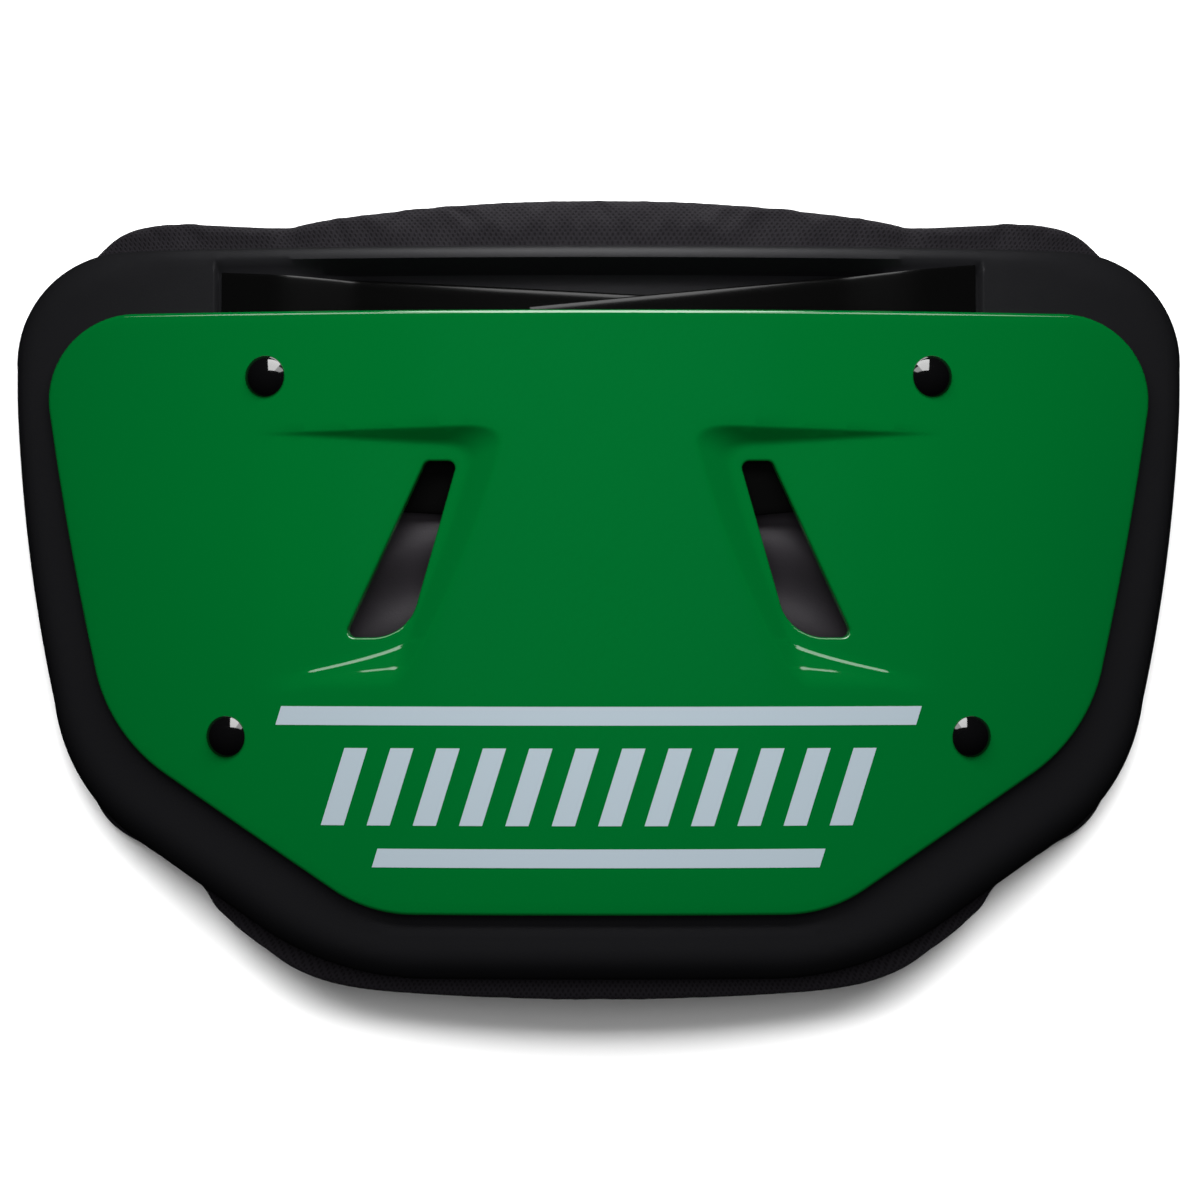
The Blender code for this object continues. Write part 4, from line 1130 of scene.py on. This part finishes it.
@dataclass
class Strap:
    """A wide coated strap, riveted at its outer end and tucked flat under the shell."""

    plate: Plate
    side: Side
    low: float
    slope: float
    top: float
    width: float = 0.0640
    thickness: float = 0.0018
    outer_end: float = 0.1030
    past_middle: float = 0.0190
    land_inner: float = 0.0900
    ramp: float = 0.0240
    land: float = 0.0115
    edge_round: float = 0.0003
    droop: float = 0.0004
    droop_width: float = 0.0020
    outer_droop: float = 0.30
    outer_start: float = 0.0620
    outer_width: float = 0.0120
    hole: float = 0.0030
    rests_on: tuple[str, ...] = ("tray_foam",)

    def rise(self, x: np.ndarray) -> np.ndarray:
        """Height of the strap's underside: flat, then rising softly to its riveted end."""
        return self.low + ease((np.abs(x) - self.land_inner + self.ramp) / self.ramp) * (self.land - self.low)

    def upper_edge(self, x: np.ndarray) -> np.ndarray:
        """How far up the plate the strap's upper edge runs."""
        return self.top - (self.plate.form.rivet_upper[0] - self.side.value * x) * math.tan(self.slope)

    def build(self, finish: bpy.types.Material) -> bpy.types.Object:
        """Cut, lay and punch the strap."""
        name = f"strap_{self.side.name.lower()}"
        deselect_all()
        bpy.ops.mesh.primitive_grid_add(x_subdivisions=120, y_subdivisions=90, size=1.0)
        strap = bpy.context.active_object
        strap.name = f"{name}_webbing"
        shares = points_of(strap) + 0.5
        shares -= 0.55 * np.sin(2.0 * math.pi * shares) / (2.0 * math.pi)
        length = self.outer_end + self.past_middle
        x = self.side.value * (shares[:, 0] * length - self.past_middle)
        v = self.upper_edge(x) - (1.0 - shares[:, 1]) * self.width
        to_edge = (0.5 - np.abs(shares[:, 1] - 0.5)) * self.width
        flat = (1.0 - self.outer_droop) * ease((np.abs(x) - self.outer_start) / self.outer_width)
        droop = self.droop * (1.0 - flat) * (1.0 - quarter(to_edge / self.droop_width))
        middle = self.rise(x) + 0.5 * self.thickness - droop
        rows = np.stack([x, v, middle], axis=1)
        lay_pattern(strap, rows, self.plate.form.bend_radius)
        move_points(strap, self.plate.wrap(*rows.T))
        if self.side is Side.LEFT:
            focus(strap)
            bpy.ops.object.mode_set(mode="EDIT")
            bpy.ops.mesh.select_all(action="SELECT")
            bpy.ops.mesh.flip_normals()
            bpy.ops.object.mode_set(mode="OBJECT")
        apply_modifier(strap, "SOLIDIFY", thickness=self.thickness, offset=0.0, use_even_offset=True)
        self.punch(strap)
        apply_modifier(
            strap, "BEVEL", width=self.edge_round, segments=3, limit_method="ANGLE", angle_limit=math.radians(60.0)
        )
        shade(strap, math.radians(40.0))
        dress(strap, finish)
        mount(strap, "black_coated_strap", name)
        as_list(self.rests_on)
        return strap

    def punch(self, strap: bpy.types.Object) -> None:
        """Punch the hole that its rivet passes through."""
        deselect_all()
        bpy.ops.mesh.primitive_cylinder_add(vertices=32, radius=self.hole, depth=0.06)
        cutter = bpy.context.active_object
        cutter.matrix_world = self.plate.stand(self.plate.form.rivet(self.side, Row.UPPER))
        apply_modifier(strap, "BOOLEAN", operation="DIFFERENCE", solver="EXACT", object=cutter)
        bpy.data.objects.remove(cutter)


@dataclass
class Rivet:
    """A domed rivet, from its cap on the shell down to its foot behind the tray."""

    plate: Plate
    shell_front: float
    head_radius: float = 0.0060
    head_height: float = 0.0032
    rim_round: float = 0.0003
    shank_radius: float = 0.0026
    foot_radius: float = 0.0075
    foot_thickness: float = 0.0014

    def cap(self) -> bpy.types.Object:
        """The dome, cut from a sphere that has its height and its radius."""
        ball = (self.head_radius**2 + self.head_height**2) / (2.0 * self.head_height)
        under = self.shell_front + SEAT_GAP
        deselect_all()
        bpy.ops.mesh.primitive_uv_sphere_add(
            segments=56, ring_count=64, radius=ball, location=(0.0, 0.0, under + self.head_height - ball)
        )
        rivet = bpy.context.active_object
        bpy.ops.object.mode_set(mode="EDIT")
        bpy.ops.mesh.select_all(action="SELECT")
        bpy.ops.mesh.bisect(
            plane_co=(0.0, 0.0, under), plane_no=(0.0, 0.0, 1.0), use_fill=True, clear_inner=True, threshold=1e-7
        )
        bpy.ops.mesh.select_mode(type="FACE")
        bpy.ops.mesh.select_all(action="DESELECT")
        bpy.ops.object.mode_set(mode="OBJECT")
        return rivet

    def grow(self, steps: Sequence[tuple[float, float]]) -> None:
        """Extrude the selected face step by step, each to a share of its size and by a length down."""
        for scale, down in steps:
            bpy.ops.mesh.extrude_region_move(TRANSFORM_OT_translate={"value": (0.0, 0.0, -down)})
            bpy.ops.transform.resize(value=(scale, scale, 1.0), center_override=(0.0, 0.0, 0.0))

    def build(self, side: Side, row: Row, finish: bpy.types.Material) -> bpy.types.Object:
        """Mould one rivet and stand it in its hole."""
        rivet = self.cap()
        rivet.name = f"rivet_{row.value}_{side.name.lower()}_cap"
        under = self.shell_front + SEAT_GAP
        for face in rivet.data.polygons:
            face.select = abs(face.center.z - under) < 1e-6 and face.normal.z < -0.9
        bpy.ops.object.mode_set(mode="EDIT")
        neck = self.shank_radius / self.head_radius
        shank = under - SEAT_GAP - self.foot_thickness
        self.grow([
            (neck, 0.0), (1.0, shank), (self.foot_radius / self.shank_radius, 0.0), (1.0, self.foot_thickness),
        ])
        bpy.ops.object.mode_set(mode="OBJECT")
        apply_modifier(
            rivet, "BEVEL", width=self.rim_round, segments=3, limit_method="ANGLE", angle_limit=math.radians(50.0)
        )
        settle_place(rivet)
        rivet.data.transform(self.plate.stand(self.plate.form.rivet(side, row)))
        shade(rivet, math.radians(40.0))
        dress(rivet, finish)
        mount(rivet, "black_gloss_rivet", f"rivet_{row.value}_{side.name.lower()}")
        return rivet


@dataclass
class Pad:
    """The puffed pad: foam in a knitted cover of three panels, with a sewn channel between them."""

    plate: Plate
    tray: Tray
    thickness: float = 0.0150
    edge: float = 0.0060
    lip: float = 0.0020
    puff: float = 0.0260
    groove_top: float = 0.0900
    groove_bottom: float = 0.1085
    groove_half: float = 0.0110
    groove_depth: float = 0.0080
    tray_clearance: float = 0.0010
    step: float = 0.0042
    swell: float = 0.0028
    frames: int = 20
    stitch_pitch: float = 0.0042
    stitch_length: float = 0.0029
    stitch_radius: float = 0.00042

    # The right half of the edge from the top middle round to the bottom middle,
    # as shares of the tray's half width and of its reach above or below the middle
    EDGE_POINTS = (
        {"across": 0.000, "up": 1.137},
        {"across": 0.190, "up": 1.131},
        {"across": 0.370, "up": 1.110},
        {"across": 0.490, "up": 1.090},
        {"across": 0.575, "up": 1.070},
        {"across": 0.650, "up": 1.074},
        {"across": 0.735, "up": 1.082},
        {"across": 0.812, "up": 1.083},
        {"across": 0.886, "up": 1.052},
        {"across": 0.968, "up": 0.945},
        {"across": 1.030, "up": 0.770},
        {"across": 1.050, "up": 0.500},
        {"across": 1.028, "up": 0.150},
        {"across": 0.993, "up": -0.180},
        {"across": 0.964, "up": -0.380},
        {"across": 0.940, "up": -0.500},
        {"across": 0.900, "up": -0.590},
        {"across": 0.835, "up": -0.655},
        {"across": 0.765, "up": -0.722},
        {"across": 0.728, "up": -0.765},
        {"across": 0.690, "up": -0.840},
        {"across": 0.618, "up": -0.920},
        {"across": 0.545, "up": -0.992},
        {"across": 0.440, "up": -1.036},
        {"across": 0.250, "up": -1.056},
        {"across": 0.000, "up": -1.064},
    )

    def outline(self) -> Outline:
        """The wavy edge, smooth through its points."""
        tray = self.tray
        wide = tray.shell.half_width + tray.rim_side
        high, low = tray.shell.top + tray.rim_top, tray.shell.bottom + tray.rim_bottom
        half = [Vector((r["across"] * wide, r["up"] * (high if r["up"] > 0 else low))) for r in self.EDGE_POINTS]
        padded = [half[0] * 2.0 - half[1], *half, half[-1] * 2.0 - half[-2]]
        padded[0] = Vector((-half[1].x, half[1].y))
        padded[-1] = Vector((-half[-2].x, half[-2].y))
        curve = []
        for a, b, c, d in zip(padded, padded[1:], padded[2:], padded[3:]):
            steps = max(2, round((c - b).length / 0.0028))
            for k in range(steps):
                t = k / steps
                bent = (2.0 * a - 5.0 * b + 4.0 * c - d) * t * t + (3.0 * b - a - 3.0 * c + d) * t**3
                curve.append(0.5 * (2.0 * b + (c - a) * t + bent))
        return Outline(mirrored(curve + [half[-1]]))

    def groove(self, v: np.ndarray) -> np.ndarray:
        """How far out the sewn channel lies at heights up the plate."""
        high = self.tray.shell.top + self.tray.rim_top
        low = self.tray.shell.bottom + self.tray.rim_bottom
        return self.groove_top + (high - v) / (high + low) * (self.groove_bottom - self.groove_top)

    def back(self, x: np.ndarray, v: np.ndarray) -> np.ndarray:
        """The puffed back: thin at its edge, pinched along the channels."""
        inset = np.clip(self.rim.distance(x, v) / self.puff, 0.0, 1.0)
        swell = np.sqrt(np.maximum(1.0 - (1.0 - inset) ** 2.2, 0.0))
        pinch = ease(1.0 - np.abs(np.abs(x) - self.groove(v)) / self.groove_half) ** 0.8
        return -(self.edge + swell * (self.thickness - self.edge) - pinch * swell * self.groove_depth)

    def front(self, x: np.ndarray, v: np.ndarray) -> np.ndarray:
        """The front: flat under the tray, and a soft lip outside it."""
        outside = (-self.tray.outer.distance(x, v) - self.tray_clearance) / (self.edge - self.tray_clearance)
        inset = self.rim.distance(x, v)
        fold = ease(1.0 - np.abs(np.abs(x) - self.groove(v)) / (0.5 * self.groove_half))
        raised = ease(outside) * self.lip * (1.0 - 0.75 * fold)
        return raised - SEAT_GAP - rolled(inset, 0.0024) * ease(outside + 1.0)

    def held(self, rows: np.ndarray) -> np.ndarray:
        """Which vertices the bond to the tray, the perimeter seam and the channels hold still."""
        x, v, w = rows.T
        under_tray = (w > -0.0015) & (self.tray.outer.distance(x, v) > -self.tray_clearance)
        seam = self.rim.distance(x, v) < 0.0006
        channel = (w < -0.002) & (np.abs(np.abs(x) - self.groove(v)) < 0.0022)
        return under_tray | seam | channel

    def inflate(self, cover: bpy.types.Object, rows: np.ndarray) -> None:
        """Blow the cover up a little as cloth, so that it fills and puckers between its seams."""
        before = points_of(cover)
        held = self.held(rows)
        group = cover.vertex_groups.new(name="sewn")
        group.add(np.flatnonzero(held).tolist(), 1.0, "REPLACE")
        focus(cover)
        cloth = cover.modifiers.new("cloth", "CLOTH")
        settings = cloth.settings
        settings.quality = 5
        settings.use_pressure = True
        settings.uniform_pressure_force = 4.0
        settings.vertex_group_mass = "sewn"
        settings.shrink_min = -0.018
        settings.bending_stiffness = 0.6
        settings.effector_weights.gravity = 0.0
        cloth.collision_settings.use_collision = False
        scene = bpy.context.scene
        for number in range(1, self.frames + 1):
            scene.frame_set(number)
        bpy.ops.object.modifier_apply(modifier=cloth.name)
        scene.frame_set(1)
        move = points_of(cover) - before
        length = np.linalg.norm(move, axis=1, keepdims=True)
        move *= np.minimum(1.0, self.swell / np.maximum(length, 1e-9))
        out = self.plate.outward(rows[:, 0], rows[:, 1])
        near_tray = self.tray.outer.distance(rows[:, 0], rows[:, 1]) > -self.tray_clearance - self.edge
        forward = (move * out).sum(axis=1)
        stop = near_tray & (rows[:, 2] > -0.0015) & (forward > 0.0)
        move[stop] -= forward[stop, None] * out[stop]
        move_points(cover, before + move)
        cover.vertex_groups.clear()

    def build(self, finish: bpy.types.Material) -> bpy.types.Object:
        """Cut, sew and fill the pad."""
        self.rim = self.outline()
        rings = [self.rim.inset(depth) for depth in (0.0006, 0.0014, 0.0030, 0.0060)]
        sheet = Sheet("pad_cover", self.plate, self.rim, [], rings, [
            (self.step * 0.6, lambda x, v: np.abs(np.abs(x) - self.groove(v)) < 0.0045),
            (self.step, lambda x, v: np.ones(len(x), bool)),
        ])
        cover, rows = sheet.build(self.front, self.back)
        self.inflate(cover, rows)
        shade(cover, math.radians(80.0))
        apply_modifier(cover, "SUBSURF", levels=1, render_levels=1)
        points = points_of(cover)
        points[:, 2] = np.maximum(points[:, 2], 0.0)
        move_points(cover, points)
        dress(cover, finish)
        mount(cover, "black_mesh_fabric", "pad")
        return cover

    def stitch(self) -> bpy.types.Object:
        """One stitch: a short rounded run of thread along x, lying at the origin."""
        deselect_all()
        bpy.ops.mesh.primitive_uv_sphere_add(segments=6, ring_count=5, radius=1.0)
        made = bpy.context.active_object
        made.scale = (0.5 * self.stitch_length, self.stitch_radius, 0.6 * self.stitch_radius)
        settle_place(made)
        return made

    def seam_lines(self) -> list[np.ndarray]:
        """The sewn lines on the back, as rows of layout x and v."""
        lines = []
        for side in Side:
            for shift in (-0.0016, 0.0016):
                v = np.arange(0.104, -0.104, -0.0005)
                x = self.groove(v) + shift
                keep = self.rim.distance(x, v) > 0.0100
                lines.append(np.stack([side.value * x[keep], v[keep]], axis=1))
        around = self.rim.inset(0.0075)
        lines.append(np.concatenate([around, around[:1]]))
        return lines

    def sew(self, cover: bpy.types.Object, finish: bpy.types.Material) -> bpy.types.Object:
        """Lay stitches along the seams, each sunk half its depth in the cover."""
        cover.data.calc_loop_triangles()
        corners = points_of(cover)
        faces = [tuple(t.vertices) for t in cover.data.loop_triangles]
        skin = BVHTree.FromPolygons([Vector(p) for p in corners], faces)
        first = self.stitch()
        source = points_of(first)
        polygons = [tuple(p.vertices) for p in first.data.polygons]
        vertices, all_faces = [], []
        for line in self.seam_lines():
            steps = np.linalg.norm(np.diff(line, axis=0), axis=1)
            run = np.concatenate([[0.0], np.cumsum(steps)])
            marks = np.arange(0.5 * self.stitch_pitch, run[-1], self.stitch_pitch)
            x, v = (np.interp(marks, run, line[:, k]) for k in range(2))
            ahead = (np.interp(marks + 0.0005, run, line[:, k]) for k in range(2))
            depth = np.full(len(x), -0.05)
            start, onward = self.plate.wrap(x, v, depth), self.plate.wrap(*ahead, depth)
            out = self.plate.outward(x, v)
            for here, there, way in zip(start, onward, out):
                hit, normal, _, _ = skin.ray_cast(Vector(here), Vector(way))
                if hit is None:
                    continue
                along = Vector(there - here)
                along = (along - normal * along.dot(normal)).normalized()
                turn = Matrix((along, normal.cross(along), normal)).transposed()
                placed = source @ np.array(turn).T + np.array(hit)
                placed[:, 2] = np.maximum(placed[:, 2], 0.0)
                all_faces += [tuple(k + len(vertices) for k in face) for face in polygons]
                vertices += placed.tolist()
        bpy.data.objects.remove(first)
        mesh = bpy.data.meshes.new("pad_stitching")
        mesh.from_pydata(vertices, [], all_faces)
        stitching = bpy.data.objects.new("pad_stitching", mesh)
        bpy.context.scene.collection.objects.link(stitching)
        shade(stitching, math.radians(80.0))
        dress(stitching, finish)
        mount(stitching, None)
        return stitching


@dataclass
class PrintedMark:
    """A generic print on the shell: two rules with a row of slanted hash marks between them."""

    plate: Plate
    shell: Shell
    lift: float = 0.00006
    film: float = 0.00004
    slant: float = 0.30
    rule_height: float = 0.0052
    upper_rule: float = -0.0285
    upper_half: float = 0.0860
    lower_rule: float = -0.0680
    lower_half: float = 0.0600
    hash_height: float = 0.0215
    hash_middle: float = -0.0482
    hash_width: float = 0.0062
    hash_pitch: float = 0.0124
    hash_count: int = 12

    def bar(self, x: float, v: float, width: float, height: float) -> bpy.types.Object:
        """One slanted bar of the layout, divided finely enough to follow the bend."""
        deselect_all()
        columns = max(3, round(width / 0.0020))
        bpy.ops.mesh.primitive_grid_add(x_subdivisions=columns, y_subdivisions=max(2, round(height / 0.0020)), size=1.0)
        bar = bpy.context.active_object
        points = points_of(bar)
        across, up = points[:, 0] * width, points[:, 1] * height
        points[:, 0], points[:, 1] = x + across + up * self.slant, v + up
        points[:, 2] = self.shell.front + self.lift
        move_points(bar, points)
        return bar

    def build(self, finish: bpy.types.Material) -> bpy.types.Object:
        """Lay the film of ink on the shell."""
        bars = [
            self.bar(0.0, self.upper_rule, 2.0 * self.upper_half, self.rule_height),
            self.bar(0.0, self.lower_rule, 2.0 * self.lower_half, self.rule_height),
        ]
        for k in range(self.hash_count):
            x = (k - 0.5 * (self.hash_count - 1)) * self.hash_pitch
            bars.append(self.bar(x, self.hash_middle, self.hash_width, self.hash_height))
        mark = join(bars, "shell_print")
        self.plate.wrap_mesh(mark)
        apply_modifier(mark, "SOLIDIFY", thickness=self.film, offset=1.0)
        dress(mark, finish)
        mount(mark, None)
        return mark


class LightUse(Enum):
    """What a softbox is for: lighting surfaces, or being mirrored in them."""

    SHAPE = "lights"
    SHINE = "shines"


@dataclass(frozen=True)
class Softbox:
    """A rectangular light; its places are in the plate's frame and its power is in watts."""

    name: str
    place: tuple[float, float, float]
    aim: tuple[float, float, float]
    size: tuple[float, float]
    power: float
    use: LightUse

    def build(self, rest: Matrix, only: Sequence[bpy.types.Object] = ()) -> None:
        """Stand the light up.

        Args:
            rest: How the plate lies.
            only: The objects that it is for, where it is not for all.
        """
        data = bpy.data.lights.new(self.name, "AREA")
        data.shape = "RECTANGLE"
        data.size, data.size_y = self.size
        data.energy = self.power
        lamp = bpy.data.objects.new(self.name, data)
        bpy.context.scene.collection.objects.link(lamp)
        turn = (Vector(self.aim) - Vector(self.place)).to_track_quat("-Z", "Y").to_matrix().to_4x4()
        lamp.matrix_world = rest @ Matrix.Translation(self.place) @ turn
        lamp.visible_glossy = self.use is LightUse.SHINE
        lamp.visible_diffuse = self.use is LightUse.SHAPE
        lamp.visible_camera = False
        if only:
            lit = bpy.data.collections.new(f"{self.name}_lights")
            for obj in only:
                lit.objects.link(obj)
            lamp.light_linking.receiver_collection = lit


@dataclass
class Studio:
    """A pale floor, soft lights and the camera that looks square at the plate."""

    plate: Plate
    camera_place: tuple[float, float, float] = (0.0004, 0.0037, 2.0)
    view_width: float = 0.34056
    sensor: float = 0.036
    floor_size: float = 24.0
    bank: Softbox = Softbox(
        "edge_bank", (0.0, 0.330, 0.210), (0.0, 0.0, 0.210), (0.24, 0.42), 3.8, LightUse.SHINE
    )
    wing_right: Softbox = Softbox(
        "wing_bank_right", (0.285, 0.330, 0.270), (0.285, 0.0, 0.270), (0.33, 0.30), 1.8, LightUse.SHINE
    )
    wing_left: Softbox = Softbox(
        "wing_bank_left", (-0.285, 0.330, 0.270), (-0.285, 0.0, 0.270), (0.33, 0.30), 1.8, LightUse.SHINE
    )
    key: Softbox = Softbox("key_softbox", (0.0, 1.00, 0.92), (0.0, 0.0, 0.0), (1.7, 0.5), 20.5, LightUse.SHAPE)
    overhead: Softbox = Softbox(
        "overhead_softbox", (0.0, 0.20, 1.6), (0.0, 0.0, 0.0), (1.2, 1.0), 10.5, LightUse.SHAPE
    )
    floor_lamp: Softbox = Softbox(
        "floor_softbox", (0.0, 0.62, 1.4), (0.0, 0.0, 0.0), (1.90, 0.50), 34.0, LightUse.SHAPE
    )

    def floor(self) -> bpy.types.Object:
        """A wide pale floor that is neither mirrored in the plate nor lights it."""
        deselect_all()
        bpy.ops.mesh.primitive_plane_add(size=self.floor_size)
        floor = bpy.context.active_object
        floor.name = "studio_floor"
        made, _, shader = new_material("pale_floor")
        shader.inputs["Base Color"].default_value = linear("#f6f6f6")
        shader.inputs["Roughness"].default_value = 0.9
        shader.inputs["Specular IOR Level"].default_value = 0.0
        dress(floor, made)
        floor.visible_glossy = False
        floor.visible_diffuse = False
        return floor

    def camera(self) -> None:
        """The camera, at the photograph's angle and framing."""
        data = bpy.data.cameras.new("camera")
        data.sensor_width = self.sensor * 1000.0
        data.lens = data.sensor_width * self.camera_place[2] / self.view_width
        data.clip_end = 60.0
        camera = bpy.data.objects.new("camera", data)
        bpy.context.scene.collection.objects.link(camera)
        camera.matrix_world = self.plate.rest @ Matrix.Translation(self.camera_place)
        bpy.context.scene.camera = camera

    def world(self) -> None:
        """Dim even surroundings that fill the shadows a little and are not mirrored."""
        world = bpy.data.worlds.new("surroundings")
        world.use_nodes = True
        background = world.node_tree.nodes["Background"]
        background.inputs["Color"].default_value = linear("#ffffff")
        background.inputs["Strength"].default_value = 0.05
        bpy.context.scene.world = world
        world.cycles_visibility.glossy = False
        bpy.context.scene.view_settings.view_transform = "Standard"

    def build(self, shell: bpy.types.Object, rivets: dict[Side, list[bpy.types.Object]]) -> None:
        """Set the whole studio.

        Args:
            shell: The shell, which mirrors all the banks.
            rivets: Each side's rivets, which mirror the middle bank and the wing across from them.
        """
        self.camera()
        floor = self.floor()
        self.world()
        for softbox in (self.bank, self.key, self.overhead):
            softbox.build(self.plate.rest)
        self.wing_right.build(self.plate.rest, [shell, *rivets[Side.LEFT]])
        self.wing_left.build(self.plate.rest, [shell, *rivets[Side.RIGHT]])
        self.floor_lamp.build(self.plate.rest, [floor])


def main() -> None:
    """Build each piece, from the shell inwards, and then the studio round them."""
    logging.basicConfig(level=logging.INFO, format="%(message)s")
    plate = Plate(PlateForm())
    log.info("plate lies at a tilt of %.3f degrees", math.degrees(plate.rest.to_euler().x))
    shell = Shell(plate)
    shell_piece = shell.build(PressedGlossAbs().make())
    tray = Tray(plate, shell)
    # The second foam is the tray's foam made paler and glossier for the floor seen through the vents; its lighter
    # colour is painted sheen
    tray.build(MouldedFoam().make(), MouldedFoam("foam_with_painted_sheen", "#2b282c", 0.46, 0.36).make())
    webbing = CoatedWebbing().make()
    Strap(plate, Side.LEFT, 0.0044, math.radians(3.2), 0.0949).build(webbing)
    under = ("tray_foam", "strap_left_webbing")
    Strap(plate, Side.RIGHT, 0.0065, math.radians(5.7), 0.0965, rests_on=under).build(webbing)
    nylon = MouldedNylon().make()
    rivet = Rivet(plate, shell.front)
    rivets = {side: [rivet.build(side, row, nylon) for row in Row] for side in Side}
    pad = Pad(plate, tray)
    cover = pad.build(KnittedMesh().make())
    pad.sew(cover, SewingThread().make())
    PrintedMark(plate, shell).build(ScreenInk().make())
    Studio(plate).build(shell_piece, rivets)
    bpy.context.view_layer.update()


if __name__ == "__main__":
    main()
